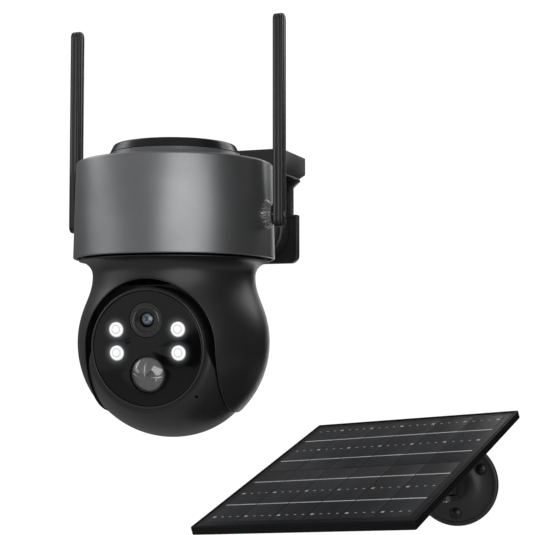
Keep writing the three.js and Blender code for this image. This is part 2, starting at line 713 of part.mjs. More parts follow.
// Place of the tilt motor's shaft, as (y, z) in the ball.
function tiltShaftPlace() {
  const distance = (TILT_GEAR.teeth + TILT_PINION.teeth) / 2;
  const angle = radians(TILT_PINION.direction);
  return [-distance * Math.cos(angle), distance * Math.sin(angle)];
}

function tiltMotor() {
  const at = tiltShaftPlace();
  const can = solid(rod("x", 10, 8, 24, at, MEDIUM));
  const shaft = solid(rod("x", 1.5, 23, TILT_GEAR.from + TILT_GEAR.thickness, at, 12));
  return named("tilt_motor", joined(can, shaft), "steel");
}

function tiltPinion() {
  const [y, z] = tiltShaftPlace();
  const wheel = gear(TILT_PINION.teeth, 1.5 + GAP, TILT_GEAR.thickness);
  const toGear = radians(90 - TILT_PINION.direction);
  wheel.rotateZ(toGear + Math.PI / TILT_PINION.teeth);
  wheel.rotateY(Math.PI / 2);
  return named("tilt_pinion", solid(wheel.translate(TILT_GEAR.from, y, z)), "whiteGear");
}

// ---- Solar unit ---------------------------------------------------------------------------------

const baseScrewPlaces = () => [30, 150, 270].map((angle) => arc(0, 0, BASE.screwCircle, angle, angle, 1)[0]);

function solarBase() {
  const { radius, flange, stemRadius, stemEnd } = BASE;
  const flare = arc(stemRadius + 9, -flange - 9.6, 9, 90, 180, 7);
  const profile = [
    [0, 0],
    [radius, 0],
    [radius, -flange + 1],
    [radius - 1, -flange],
    [stemRadius + 9, -flange - 0.6],
    ...flare.slice(1),
    [stemRadius, -stemEnd],
    [5.2, -stemEnd],
    [5.2, -9],
    [0, -9],
  ];
  const body = solid(turned("y", profile, 36));
  const holes = baseScrewPlaces().flatMap((at) => [
    solid(rod("y", 1.9, -20, 5, at, 12)),
    solid(rod("y", 3.8, -20, -flange + 1.2, at)),
  ]);
  return named("solar_base", cut(body, ...holes), "blackPlastic");
}

function baseScrew(number, at) {
  const head = solid(rod("y", 3.4, -BASE.flange - 0.2, -BASE.flange + 0.9, at));
  const shank = solid(rod("y", 1.6, -BASE.flange + 0.5, -GAP, at, 12));
  return named("base_screw_" + number, joined(head, shank), "steel");
}

// Fork that swivels in the base's socket and holds the arm between its two ears.
function swivelKnuckle() {
  const pivotY = ARM_PIVOT.y;
  const stem = solid(rod("y", 4.9, -18.5, -9.3, [0, 0], 24));
  const collar = solid(rod("y", BASE.stemRadius, -21.5, -BASE.stemEnd - GAP, [0, 0], 24));
  const plug = joined(stem, solid(rod("y", 4.9, -20, -18, [0, 0], 24)), collar);
  const outline = [[-EYE_RADIUS, -21], ...arc(0, pivotY, EYE_RADIUS, 180, 360, 10), [EYE_RADIUS, -21]];
  const ears = [-EAR.far, EAR.near].map((z) => solid(prism("z", outline, z, z + EAR.far - EAR.near)));
  const pinHole = solid(rod("z", PIVOT_PIN.radius + GAP, -20, 20, [0, pivotY], 12));
  const knuckle = named("swivel_knuckle", cut(joined(plug, ...ears), pinHole), "blackPlastic");
  knuckle.position.set(BASE.x, 0, BASE.z);
  return knuckle;
}

const panelPivot = () => PANEL_CENTRE.clone().addScaledVector(PANEL_NORMAL, -PANEL.pivotDrop);

function pivotPin(name, centre, direction) {
  const foot = centre.clone().addScaledVector(direction, -EAR.far - 0.8);
  const shoulder = centre.clone().addScaledVector(direction, EAR.far + GAP);
  const tip = shoulder.clone().addScaledVector(direction, PIVOT_PIN.headLength);
  const overlap = shoulder.clone().addScaledVector(direction, 0.5);
  const shank = solid(rodBetween(foot, overlap, PIVOT_PIN.radius, 12));
  const head = solid(rodBetween(shoulder, tip, PIVOT_PIN.headRadius, 6));
  return named(name, joined(shank, head), "steel");
}

function solarArm() {
  const end = panelPivot();
  const up = new THREE.Vector3(0, 0, 1);
  const along = end.clone().sub(ARM_PIVOT).normalize();
  const eye = (centre, axis, radius, half) => {
    const from = centre.clone().addScaledVector(axis, -half);
    const to = centre.clone().addScaledVector(axis, half);
    return solid(rodBetween(from, to, radius, 20));
  };
  const start = ARM_PIVOT.clone().addScaledVector(along, 8);
  const finish = end.clone().addScaledVector(along, -8);
  const bar = solid(rodBetween(start, finish, 5, 16));
  const neckEnds = [
    [ARM_PIVOT.clone().addScaledVector(along, 3.5), start.clone().addScaledVector(along, 1)],
    [finish.clone().addScaledVector(along, -1), end.clone().addScaledVector(along, -3.5)],
  ];
  const necks = neckEnds.map(([from, to]) => solid(rodBetween(from, to, EYE_HALF - 0.2, 16)));
  const eyes = [eye(ARM_PIVOT, up, EYE_RADIUS, EYE_HALF), eye(end, PANEL_ACROSS, EYE_RADIUS, EYE_HALF)];
  const holeRadius = PIVOT_PIN.radius + GAP;
  const holes = [eye(ARM_PIVOT, up, holeRadius, 10), eye(end, PANEL_ACROSS, holeRadius, 10)];
  return named("solar_arm", cut(joined(bar, ...necks, ...eyes), ...holes), "blackPlastic");
}

// The panel's own frame: x across it, y up its slope and z out of its face, with the origin on the face.
const PANEL_BACK = -PANEL.thickness;
const BOSS_BACK = PANEL_BACK - GAP - BOSS.thickness;

function panelKnuckle() {
  const plateTop = BOSS_BACK - GAP;
  const plateBack = plateTop - BOSS.plateThickness;
  const plate = solid(rod("z", BOSS.plateRadius, plateBack, plateTop, [0, 0], MEDIUM));
  const stud = solid(rod("z", BOSS.studRadius, plateTop - 1, PANEL_BACK - 2 * GAP));
  const pivotZ = -PANEL.pivotDrop;
  const outline = [
    [EYE_RADIUS, plateBack + 1],
    [-EYE_RADIUS, plateBack + 1],
    ...arc(0, pivotZ, EYE_RADIUS, 180, 360, 10),
  ];
  const ears = [-EAR.far, EAR.near].map((x) => solid(prism("x", outline, x, x + EAR.far - EAR.near)));
  const pinHole = solid(rod("x", PIVOT_PIN.radius + GAP, -20, 20, [0, pivotZ], 12));
  return named("panel_knuckle", cut(joined(plate, stud, ...ears), pinHole), "blackPlastic");
}

function panelTray() {
  const { width, depth, thickness, lip, pocket } = PANEL;
  const x = width / 2;
  const y = depth / 2;
  const outer = solid(block([-x, -y, -thickness], [x, y, 0]));
  const seat = solid(block([lip - x, lip - y, -pocket], [x - lip, y - lip, 5]));
  return named("panel_tray", cut(outer, seat), "blackPlastic");
}

function solarLaminate() {
  const half = [PANEL.width / 2 - PANEL.lip - GAP, PANEL.depth / 2 - PANEL.lip - GAP];
  const sheet = block([-half[0], -half[1], -PANEL.pocket + GAP], [half[0], half[1], -0.15]);
  return named("solar_laminate", solid(sheet), "solarGlass");
}

function panelBoss() {
  const body = ring("z", BOSS.radius, BOSS.studRadius + GAP, BOSS_BACK, PANEL_BACK - GAP, MEDIUM);
  return named("panel_boss", solid(body), "darkPlastic");
}

// Box on the back that the solar lead leaves from, with its gland facing up the slope.
function junctionBox() {
  const { halfWidth, low, high, height, leadHeight } = JUNCTION_BOX;
  const top = PANEL_BACK - GAP;
  const body = solid(block([-halfWidth, low, top - height], [halfWidth, high, top]));
  const bore = solid(rod("y", 2.4, high - 8, high + 5, [0, top - leadHeight]));
  return named("junction_box", cut(body, bore), "darkPlastic");
}

function leadGland() {
  const z = PANEL_BACK - GAP - JUNCTION_BOX.leadHeight;
  const body = ring("y", GLAND.radius, GLAND.bore, JUNCTION_BOX.high + GAP, GLAND.end, SMALL);
  body.translate(0, 0, z);
  return named("lead_gland", solid(body), "rubber");
}

// ---- Assembly -----------------------------------------------------------------------------------

function ballGroup() {
  const group = new THREE.Group();
  group.add(ballFrontShell(), ballRearShell(), faceBezel(), faceGlass());
  group.add(lensBarrel(), lensGlass(), sensorBoard(), ledBoard());
  ledPlaces().forEach(([x, z], i) => group.add(ledLens(i + 1, x, z)));
  group.add(pirLens(), lightSensor(), speaker(), tiltMotor(), tiltPinion());
  group.rotation.x = radians(REST_TILT);
  return group;
}

function yokeGroup() {
  const group = new THREE.Group();
  group.add(yokeShell(), yokeRearCover(), tiltAxle(), tiltGear(), panRingGear());
  group.add(...[-1, 1].map(cheekPlate));
  return group;
}

function headGroup() {
  const group = new THREE.Group();
  group.add(yokeGroup(), ballGroup());
  group.rotation.z = radians(REST_PAN);
  return group;
}

function cameraUnit() {
  const group = new THREE.Group();
  group.add(bodySleeve(), innerHousing(), topCap(), batteryTray(), mainBoard());
  [-CELL.offset, CELL.offset].forEach((y, i) => group.add(batteryCell(i + 1, y)));
  group.add(panMotor(), panPinion(), chargeInlet(), powerButton());
  group.add(wallPlate(), bracketHood(), bracketNeck());
  for (const side of [-1, 1]) {
    group.add(wallScrew(side), antennaCollar(side), antennaPin(side), antenna(side));
  }
  group.add(headGroup());
  group.position.set(0, -WALL_REACH, -HUB_HEIGHT);
  return group;
}

function solarUnit() {
  const group = new THREE.Group();
  const foot = new THREE.Group();
  foot.add(solarBase());
  baseScrewPlaces().forEach((at, i) => foot.add(baseScrew(i + 1, at)));
  foot.position.set(BASE.x, 0, BASE.z);

  const panel = new THREE.Group();
  panel.add(panelTray(), solarLaminate(), panelBoss(), junctionBox(), leadGland(), panelKnuckle());
  const slope = new THREE.Vector3().crossVectors(PANEL_NORMAL, PANEL_ACROSS);
  const basis = new THREE.Matrix4().makeBasis(PANEL_ACROSS, slope, PANEL_NORMAL);
  panel.quaternion.setFromRotationMatrix(basis);
  panel.position.copy(PANEL_CENTRE);

  group.add(foot, swivelKnuckle(), solarArm(), panel);
  group.add(pivotPin("arm_pivot_pin", ARM_PIVOT, new THREE.Vector3(0, 0, 1)));
  group.add(pivotPin("panel_pivot_pin", panelPivot(), PANEL_ACROSS));
  return group;
}

const securityCamera = new THREE.Group();
securityCamera.add(cameraUnit(), solarUnit());

export default securityCamera;
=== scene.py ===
"""Studio scene of a solar-powered pan-and-tilt security camera with its solar panel."""
import json
import math

import bmesh
import bpy
from mathutils import Matrix, Vector


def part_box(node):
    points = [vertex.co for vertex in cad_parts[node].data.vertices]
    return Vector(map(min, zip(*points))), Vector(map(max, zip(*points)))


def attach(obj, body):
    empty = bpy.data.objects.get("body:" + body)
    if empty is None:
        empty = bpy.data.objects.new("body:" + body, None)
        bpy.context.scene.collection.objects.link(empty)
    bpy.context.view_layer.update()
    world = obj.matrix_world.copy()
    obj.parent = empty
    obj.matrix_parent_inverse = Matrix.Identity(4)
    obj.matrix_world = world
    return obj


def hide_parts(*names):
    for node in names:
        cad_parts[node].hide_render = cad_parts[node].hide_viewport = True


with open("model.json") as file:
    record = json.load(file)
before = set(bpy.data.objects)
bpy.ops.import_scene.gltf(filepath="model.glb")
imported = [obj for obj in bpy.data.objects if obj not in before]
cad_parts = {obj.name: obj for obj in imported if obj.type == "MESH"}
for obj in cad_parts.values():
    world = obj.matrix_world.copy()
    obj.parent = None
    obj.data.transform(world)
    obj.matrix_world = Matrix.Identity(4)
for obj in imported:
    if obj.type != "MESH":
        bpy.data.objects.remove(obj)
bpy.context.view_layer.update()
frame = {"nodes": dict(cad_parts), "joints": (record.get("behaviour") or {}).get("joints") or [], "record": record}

MM = 0.001
SHARP = math.radians(32)  # an edge sharper than this stays sharp in the shading
scene = bpy.context.scene

# ---- Camera ----------------------------------------------

CAMERA_PLACE = Vector((0.2911, -0.7876, -0.0766))
CAMERA_AIM = Vector((-0.3413, 0.9378, 0.0637))
CAMERA_LENS = 87.48  # mm, on a 36 mm sensor


def add_camera():
    data = bpy.data.cameras.new("studio_camera")
    data.lens = CAMERA_LENS
    data.sensor_width = 36
    data.clip_start = 0.01
    camera = bpy.data.objects.new("studio_camera", data)
    camera.location = CAMERA_PLACE
    camera.rotation_mode = "QUATERNION"
    camera.rotation_quaternion = CAMERA_AIM.to_track_quat("-Z", "Y")
    scene.collection.objects.link(camera)
    scene.camera = camera


add_camera()

# ---- Places taken from the frame -------------------------

ROUND = 192  # sides of a large round
SMALL_ROUND = 64
BAND_BOTTOM = 44.9  # bottom of the metal band above the centre of the ball, in mm
REST_TILT = math.radians(5)
REST_PAN = math.radians(4)

joints = {joint["name"]: joint for joint in frame["joints"]}


def middle(node):
    low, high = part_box(node)
    return (low + high) / 2


def frame_at(origin, x_axis, z_axis):
    """Matrix from millimetres in a piece's own axes to metres in the shared frame."""
    x = Vector(x_axis).normalized()
    z = Vector(z_axis)
    z = (z - x * z.dot(x)).normalized()
    y = z.cross(x)
    turn = Matrix((x, y, z)).transposed().to_4x4()
    return Matrix.Translation(origin) @ turn @ Matrix.Scale(MM, 4)


band_middle = middle("body_sleeve")
band_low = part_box("body_sleeve")[0]
head_origin = Vector((band_middle.x, band_middle.y, band_low.z - BAND_BOTTOM * MM))
HEAD = Matrix.Translation(head_origin) @ Matrix.Scale(MM, 4)
YOKE = HEAD @ Matrix.Rotation(REST_PAN, 4, "Z")
BALL = YOKE @ Matrix.Rotation(REST_TILT, 4, "X")
base_middle = middle("solar_base")
BASE = Matrix.Translation((base_middle.x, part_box("solar_base")[1].y, base_middle.z)) @ Matrix.Scale(MM, 4)
panel_across = Vector(joints["panel_tilt"]["axis"])
panel_normal = Vector(joints["panel_spin"]["axis"])
PANEL_DROP = 2.25  # middle of the tray below its face, in mm
panel_origin = middle("panel_tray") + panel_normal * PANEL_DROP * MM
PANEL = frame_at(panel_origin, panel_across, panel_normal)
WALL_FACE = -head_origin.y / MM  # the wall behind the centre of the ball, in mm

# ---- Materials -------------------------------------------


class Nodes:
    """A material's or the world's node tree, with short ways to add and link nodes."""

    def __init__(self, owner, coordinates="Object"):
        owner.use_nodes = True
        self.owner = owner
        self.tree = owner.node_tree
        self.shader = self.tree.nodes.get("Principled BSDF")
        self.place = self.add("ShaderNodeTexCoord").outputs[coordinates]

    def add(self, kind, values=None, **settings):
        """A new node with its settings, and then the values of its unlinked inputs."""
        node = self.tree.nodes.new(kind)
        for key, value in settings.items():
            setattr(node, key, value)
        for key, value in (values or {}).items():
            node.inputs[key].default_value = value
        return node

    def link(self, source, target):
        self.tree.links.new(source, target)

    def noise(self, scale, detail):
        node = self.add("ShaderNodeTexNoise", {"Scale": scale, "Detail": detail})
        self.link(self.place, node.inputs["Vector"])
        return node.outputs["Fac"]

    def spread(self, value, low, high):
        """A noise, whose useful range is 0.3 to 0.7, stretched to low and high."""
        values = {"From Min": 0.3, "From Max": 0.7, "To Min": low, "To Max": high}
        node = self.add("ShaderNodeMapRange", values)
        self.link(value, node.inputs["Value"])
        return node.outputs["Result"]

    def math(self, operation, first, second=0.0):
        node = self.add("ShaderNodeMath", operation=operation)
        for socket, value in zip(node.inputs, (first, second)):
            if isinstance(value, (int, float)):
                socket.default_value = value
            else:
                self.link(value, socket)
        return node.outputs[0]

    def ramp(self, value, stops, smooth=False):
        """Colours or greys along a value from 0 to 1."""
        node = self.add("ShaderNodeValToRGB")
        ramp = node.color_ramp
        if smooth:
            ramp.interpolation = "EASE"
        ramp.elements[0].position = stops[0][0]
        ramp.elements[1].position = stops[-1][0]
        for position, _ in stops[1:-1]:
            ramp.elements.new(position)
        for element, (_, colour) in zip(ramp.elements, stops):
            grey = isinstance(colour, (int, float))
            element.color = (colour, colour, colour, 1) if grey else (*colour, 1)
        self.link(value, node.inputs["Fac"])
        return node.outputs["Color"]

    def bump(self, height, depth):
        node = self.add("ShaderNodeBump", {"Strength": 1.0, "Distance": depth})
        self.link(height, node.inputs["Height"])
        self.link(node.outputs["Normal"], self.shader.inputs["Normal"])

    def paint(self, value, stops, smooth=False):
        self.link(self.ramp(value, stops, smooth), self.shader.inputs["Base Color"])

    def polish(self, value, low, high):
        self.link(self.spread(value, low, high), self.shader.inputs["Roughness"])

    def set(self, **values):
        for key, value in values.items():
            socket = self.shader.inputs[key.replace("_", " ")]
            socket.default_value = (*value, 1) if isinstance(value, tuple) else value


def grained(name, colour, roughness, grain, depth, blotches, mottle, uneven):
    """A surface of slightly uneven tone and gloss, with a fine grain of a pitch and depth in mm."""
    nodes = Nodes(bpy.data.materials.new(name))
    broad = nodes.noise(blotches, 3)
    fine = nodes.noise(1 / (grain * MM), 2)
    darker = tuple(channel * (1 - mottle) for channel in colour)
    lighter = tuple(channel * (1 + mottle) for channel in colour)
    nodes.paint(broad, [(0.3, darker), (0.7, lighter)])
    nodes.polish(fine, roughness - uneven, roughness + uneven + 0.01)
    nodes.bump(fine, depth * MM)
    return nodes


def moulded(name, colour, roughness, grain, depth, specular=0.5, coat=0.0):
    """Moulded plastic, rubber or board."""
    nodes = grained(name, colour, roughness, grain, depth, blotches=60, mottle=0.12, uneven=0.04)
    nodes.set(Specular_IOR_Level=specular, Coat_Weight=coat, Coat_Roughness=0.08)
    return nodes.owner


def metal(name, colour, roughness, grain, depth, metallic=1.0):
    """Painted or bare metal with a satin finish."""
    nodes = grained(name, colour, roughness, grain, depth, blotches=40, mottle=0.08, uneven=0.03)
    nodes.set(Metallic=metallic)
    return nodes.owner


def from_middle(nodes, centre, scale):
    """Distance of the surface from a point, seen along Y, in units of a scale in metres."""
    shift = (-centre.x / scale, 0, -centre.z / scale)
    mapping = nodes.add("ShaderNodeMapping", {"Location": shift, "Scale": (1 / scale, 0, 1 / scale)})
    nodes.link(nodes.place, mapping.inputs["Vector"])
    length = nodes.add("ShaderNodeVectorMath", operation="LENGTH")
    nodes.link(mapping.outputs["Vector"], length.inputs[0])
    return length.outputs["Value"]


def smoked_glass(name, lamps, reach):
    """Glossy black window with a painted glow round each lamp, given as emission on the glass and not cast by the
    lamps.
    """
    nodes = Nodes(bpy.data.materials.new(name))
    broad = nodes.noise(30, 2)
    nodes.paint(broad, [(0.3, 0.002), (0.7, 0.003)])
    nodes.polish(broad, 0.05, 0.08)
    painted_glow = None
    for lamp in lamps:
        near = from_middle(nodes, lamp, reach)
        inside = nodes.math("MAXIMUM", nodes.math("SUBTRACT", 1.0, near), 0.0)
        painted_halo = nodes.math("POWER", inside, 4.0)
        painted_glow = painted_halo if painted_glow is None else nodes.math("ADD", painted_glow, painted_halo)
    # painted glow: bluish white emission on the window glass, fading out round each lamp, in place of lamp light
    # scattered in the glass
    nodes.link(painted_glow, nodes.shader.inputs["Emission Strength"])
    nodes.set(Emission_Color=(0.85, 0.92, 1.0))
    return nodes.owner


def lamp_face(name, centre, radius):
    """A lit white lamp: a bright middle, a faint grey ring round it and a bright rim."""
    nodes = Nodes(bpy.data.materials.new(name))
    near = from_middle(nodes, centre, radius * MM)
    stops = [(0.0, 1.0), (0.4, 1.0), (0.5, 0.3), (0.6, 0.72), (0.86, 0.95), (1.0, 0.25)]
    nodes.link(nodes.ramp(near, stops), nodes.shader.inputs["Emission Color"])
    nodes.paint(near, [(0.0, 0.3), (1.0, 0.12)])
    nodes.set(Emission_Strength=1.0, Roughness=0.15)
    return nodes.owner


def lens_face(name, centre, radius):
    """Coated front element: a painted blue-grey reflection of its coating in a ring round a black pupil of painted
    shade, the dark inside of the lens.
    """
    nodes = Nodes(bpy.data.materials.new(name))
    near = from_middle(nodes, centre, radius * MM)
    # painted shade: the black pupil stands for the dark inside of the lens; painted reflection: the blue-grey ring
    # stands for light reflected by the coating
    painted_shade_pupil = (0.01, 0.012, 0.02)
    painted_shade_pupil_edge = (0.02, 0.025, 0.05)
    painted_coating_reflection = (0.16, 0.2, 0.3)
    painted_reflection_edge = (0.05, 0.06, 0.09)
    stops = [(0.0, painted_shade_pupil), (0.3, painted_shade_pupil_edge), (0.5, painted_coating_reflection), (0.72, painted_reflection_edge), (1.0, 0.01)]
    nodes.paint(near, stops, True)
    nodes.polish(nodes.noise(300, 1), 0.04, 0.08)
    nodes.set(Coat_Weight=1.0, Coat_Roughness=0.02, Coat_IOR=1.7)
    return nodes.owner


def milky_dome(name):
    """Infrared window of pearly grey plastic."""
    nodes = Nodes(bpy.data.materials.new(name))
    fine = nodes.noise(1800, 2)
    nodes.paint(nodes.noise(160, 2), [(0.3, 0.05), (0.7, 0.09)])
    nodes.polish(fine, 0.12, 0.18)
    nodes.bump(fine, 0.003 * MM)
    nodes.set(Coat_Weight=1.0, Coat_Roughness=0.06, Coat_IOR=1.8, Specular_IOR_Level=1.0)
    return nodes.owner


def solar_cell(name, colour):
    """Silicon under a thin ribbed sheet, with fine grid fingers running up the panel's slope."""
    nodes = Nodes(bpy.data.materials.new(name))
    across = nodes.add("ShaderNodeVectorMath", operation="DOT_PRODUCT")
    nodes.link(nodes.place, across.inputs[0])
    across.inputs[1].default_value = panel_across * (2 * math.pi / (FINGER_PITCH * MM))
    fingers = nodes.math("SINE", across.outputs["Value"])
    fine = nodes.noise(500, 2)
    tone = nodes.math("ADD", nodes.math("MULTIPLY", fingers, 0.16), nodes.noise(25, 2))
    darker = tuple(channel * 0.62 for channel in colour)
    lighter = tuple(channel * 1.38 for channel in colour)
    nodes.paint(tone, [(0.3, darker), (0.7, lighter)])
    nodes.polish(fine, 0.36, 0.45)
    nodes.bump(nodes.math("ADD", fine, nodes.math("MULTIPLY", fingers, 0.5)), 0.012 * MM)
    nodes.set(Specular_IOR_Level=0.3)
    return nodes.owner


FINGER_PITCH = 1.7  # mm
LAMPS = [middle(f"led_lens_{number}") for number in range(1, 5)]
LAMP_RADIUS = 4.0
PAINTED_GLOW_REACH = 0.009  # how far the painted glow round each lamp reaches on the window, in metres
LENS_RADIUS = 3.8

# Each moulded or metal look gives its colour, roughness, and the grain's pitch and depth in mm.
looks = {
    "gunmetal": metal("gunmetal_band", (0.235, 0.238, 0.245), 0.36, 0.7, 0.007, metallic=0.9),
    "black_plastic": moulded("black_moulding", (0.012, 0.012, 0.013), 0.36, 0.45, 0.012),
    "lid_metal": metal("lid_paint", (0.12, 0.122, 0.127), 0.3, 0.6, 0.005, metallic=0.4),
    "yoke_plastic": moulded("satin_black_yoke", (0.013, 0.013, 0.0135), 0.36, 0.7, 0.03),
    "antenna_plastic": moulded("antenna_black", (0.011, 0.011, 0.011), 0.3, 0.4, 0.004),
    "gloss_black": moulded("gloss_black_cap", (0.01, 0.01, 0.011), 0.22, 0.5, 0.002, specular=0.3),
    "dark_plastic": moulded("dark_plastic", (0.022, 0.022, 0.023), 0.42, 0.4, 0.006),
    "bezel_plastic": moulded("bezel_black", (0.02, 0.02, 0.021), 0.25, 0.4, 0.003),
    "collar_metal": metal("collar_grey", (0.4, 0.4, 0.405), 0.2, 0.4, 0.002, metallic=0.85),
    "lens_barrel": moulded("lens_barrel_black", (0.016, 0.0155, 0.015), 0.2, 0.3, 0.002, coat=0.5),
    "window": smoked_glass("smoked_window", LAMPS, PAINTED_GLOW_REACH),
    "lens_glass": lens_face("coated_lens", middle("lens_glass"), LENS_RADIUS),
    "pir_plastic": milky_dome("pearl_dome"),
    "circuit_board": moulded("circuit_board_green", (0.01, 0.07, 0.03), 0.45, 0.8, 0.01, coat=0.3),
    "cell_sleeve": moulded("cell_sleeve_blue", (0.05, 0.15, 0.32), 0.35, 0.8, 0.003, coat=0.2),
    "steel": metal("zinc_steel", (0.5, 0.5, 0.51), 0.3, 0.3, 0.004),
    "dark_screw": metal("blackened_steel", (0.04, 0.04, 0.041), 0.34, 0.3, 0.004),
    "white_gear": moulded("acetal_white", (0.7, 0.69, 0.65), 0.4, 0.5, 0.003),
    "rubber": moulded("black_rubber", (0.008, 0.008, 0.008), 0.6, 0.3, 0.01),
    "base_plastic": moulded("satin_base", (0.013, 0.013, 0.0135), 0.4, 0.5, 0.008),
    "panel_frame": moulded("panel_frame_black", (0.004, 0.004, 0.0042), 0.45, 0.5, 0.006, specular=0.15),
    "solar_sheet": solar_cell("panel_backsheet", (0.012, 0.012, 0.014)),
    "solar_cell": solar_cell("silicon_cell", (0.027, 0.028, 0.031)),
    "busbar": metal("tinned_ribbon", (0.62, 0.63, 0.65), 0.4, 0.2, 0.002, metallic=0.25),
    "finger": metal("silver_pad", (0.6, 0.61, 0.63), 0.4, 0.2, 0.002, metallic=0.25),
}

# ---- Building solids -------------------------------------


def arc(centre_u, centre_v, radius, start, end, steps):
    """Points of an arc in a plane, from one angle to the other in degrees."""
    angles = [math.radians(start + (end - start) * i / steps) for i in range(steps + 1)]
    return [(centre_u + radius * math.cos(a), centre_v + radius * math.sin(a)) for a in angles]


def bezier(start, first, second, end, steps):
    points = []
    for i in range(steps + 1):
        t = i / steps
        weights = ((1 - t) ** 3, 3 * t * (1 - t) ** 2, 3 * t * t * (1 - t), t ** 3)
        controls = (start, first, second, end)
        points.append(tuple(sum(w * p[k] for w, p in zip(weights, controls)) for k in (0, 1)))
    return points


def rounded(corners, steps=6, closed=False):
    """An outline whose corners (u, v, radius) are rounded. A corner without a radius stays sharp."""
    result = []
    count = len(corners)
    for i, corner in enumerate(corners):
        point = Vector(corner[:2])
        radius = corner[2] if len(corner) > 2 else 0
        ends = not closed and i in (0, count - 1)
        if radius == 0 or ends:
            result.append(tuple(point))
            continue
        before = (Vector(corners[i - 1][:2]) - point).normalized()
        after = (Vector(corners[(i + 1) % count][:2]) - point).normalized()
        half = math.acos(max(-1.0, min(1.0, before.dot(after)))) / 2
        back = radius / math.tan(half)
        start = point + before * back
        end = point + after * back
        centre = point + (before + after).normalized() * (radius / math.sin(half))
        first = start - centre
        sweep = first.angle_signed(end - centre)
        for step in range(steps + 1):
            spoke = first.copy()
            spoke.rotate(Matrix.Rotation(-sweep * step / steps, 2))
            result.append(tuple(centre + spoke))
    return result


def solid(name, points, faces):
    """A closed mesh object, in millimetres, with its faces turned outwards."""
    mesh = bpy.data.meshes.new(name)
    mesh.from_pydata([tuple(p) for p in points], [], faces)
    work = bmesh.new()
    work.from_mesh(mesh)
    bmesh.ops.remove_doubles(work, verts=work.verts, dist=1e-4)
    bmesh.ops.recalc_face_normals(work, faces=work.faces)
    work.to_mesh(mesh)
    work.free()
    piece = bpy.data.objects.new(name, mesh)
    scene.collection.objects.link(piece)
    return piece


def bands(rows, sides):
    """Faces between rows of points that each go once round."""
    faces = []
    for start in range(0, (rows - 1) * sides, sides):
        for side in range(sides):
            after = (side + 1) % sides
            faces.append((start + side, start + after, start + sides + after, start + sides + side))
    return faces


def end_faces(total, sides):
    """Faces over the first and the last row of points."""
    return [tuple(range(sides)), tuple(range(total - sides, total))]


def turned(name, profile, axis="z", sides=ROUND, centre=(0, 0, 0)):
    """A profile of (radius, height) points turned about an axis through a centre."""
    order = {"x": (2, 0, 1), "y": (0, 2, 1), "z": (0, 1, 2)}[axis]
    points = []
    for radius, height in profile:
        for side in range(sides):
            angle = 2 * math.pi * side / sides
            local = (radius * math.cos(angle), radius * math.sin(angle), height)
            points.append(tuple(local[k] + c for k, c in zip(order, centre)))
    faces = [face for face in bands(len(profile), sides) if not on_axis(profile, face, sides)]
    return solid(name, points, faces)


def on_axis(profile, face, sides):
    """True for a face whose points all lie on the axis."""
    return all(abs(profile[corner // sides][0]) < 1e-9 for corner in face)


def ring_form(name, profile, **options):
    return turned(name, [*profile, profile[0]], **options)


def prism(name, outline, start, end, axis="z"):
    """An outline extruded along an axis: (y, z) for X, (x, z) for Y and (x, y) for Z."""
    def point(u, v, w):
        return {"x": (w, u, v), "y": (u, w, v), "z": (u, v, w)}[axis]

    count = len(outline)
    points = [point(u, v, level) for level in (start, end) for u, v in outline]
    faces = [tuple(range(count)), tuple(range(count, 2 * count))]
    faces += [(i, (i + 1) % count, count + (i + 1) % count, count + i) for i in range(count)]
    return solid(name, points, faces)


def block(name, low, high):
    outline = [(low[0], low[1]), (high[0], low[1]), (high[0], high[1]), (low[0], high[1])]
    return prism(name, outline, low[2], high[2])


def rod(name, radius, start, end, axis="z", centre=(0, 0, 0), sides=SMALL_ROUND):
    return turned(name, [(0, start), (radius, start), (radius, end), (0, end)], axis, sides, centre)


def apply_modifiers(piece):
    graph = bpy.context.evaluated_depsgraph_get()
    graph.update()
    mesh = bpy.data.meshes.new_from_object(piece.evaluated_get(graph))
    piece.modifiers.clear()
    piece.data = mesh
    return piece


def combine(piece, tools, operation):
    """Cuts the piece with other solids, joins them to it or keeps what they share, and deletes them."""
    for tool in tools:
        modifier = piece.modifiers.new("combine", "BOOLEAN")
        modifier.operation = operation
        modifier.solver = "EXACT"
        modifier.object = tool
        apply_modifiers(piece)
        bpy.data.objects.remove(tool)
    return piece


def cut(piece, *tools):
    return combine(piece, tools, "DIFFERENCE")


def joined(piece, *tools):
    return combine(piece, tools, "UNION")


def common(piece, *tools):
    """Keeps what the piece shares with every tool."""
    return combine(piece, tools, "INTERSECT")


def eased(piece, width, segments=3):
    """Rounds the piece's edges that are sharper than 40 degrees."""
    modifier = piece.modifiers.new("ease", "BEVEL")
    modifier.width = width
    modifier.segments = segments
    modifier.limit_method = "ANGLE"
    modifier.angle_limit = math.radians(40)
    return apply_modifiers(piece)


def tube_along(name, path, radius, sides=12):
    """A round bead along an open path of points."""
    points = []
    normal = None
    for i, here in enumerate(path):
        along = (path[min(i + 1, len(path) - 1)] - path[max(i - 1, 0)]).normalized()
        if normal is None:
            normal = along.orthogonal().normalized()
        normal = (normal - along * normal.dot(along)).normalized()
        other = along.cross(normal)
        for side in range(sides):
            angle = 2 * math.pi * side / sides
            points.append(here + normal * radius * math.cos(angle) + other * radius * math.sin(angle))
    return solid(name, points, end_faces(len(points), sides) + bands(len(path), sides))


def dress(mesh, material):
    """Gives a mesh its only material and smooth shading."""
    mesh.materials.clear()
    mesh.materials.append(material)
    mesh.shade_smooth()


def fit(piece, place, body, look, nodes=()):
    """Puts a finished piece where the frame has it, on its body and in place of its CAD nodes.
    """
    piece.data.transform(place)
    dress(piece.data, looks[look])
    piece.data.set_sharp_from_angle(angle=SHARP)
    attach(piece, body)
    if nodes:
        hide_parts(*nodes)


# ---- Camera body -----------------------------------------

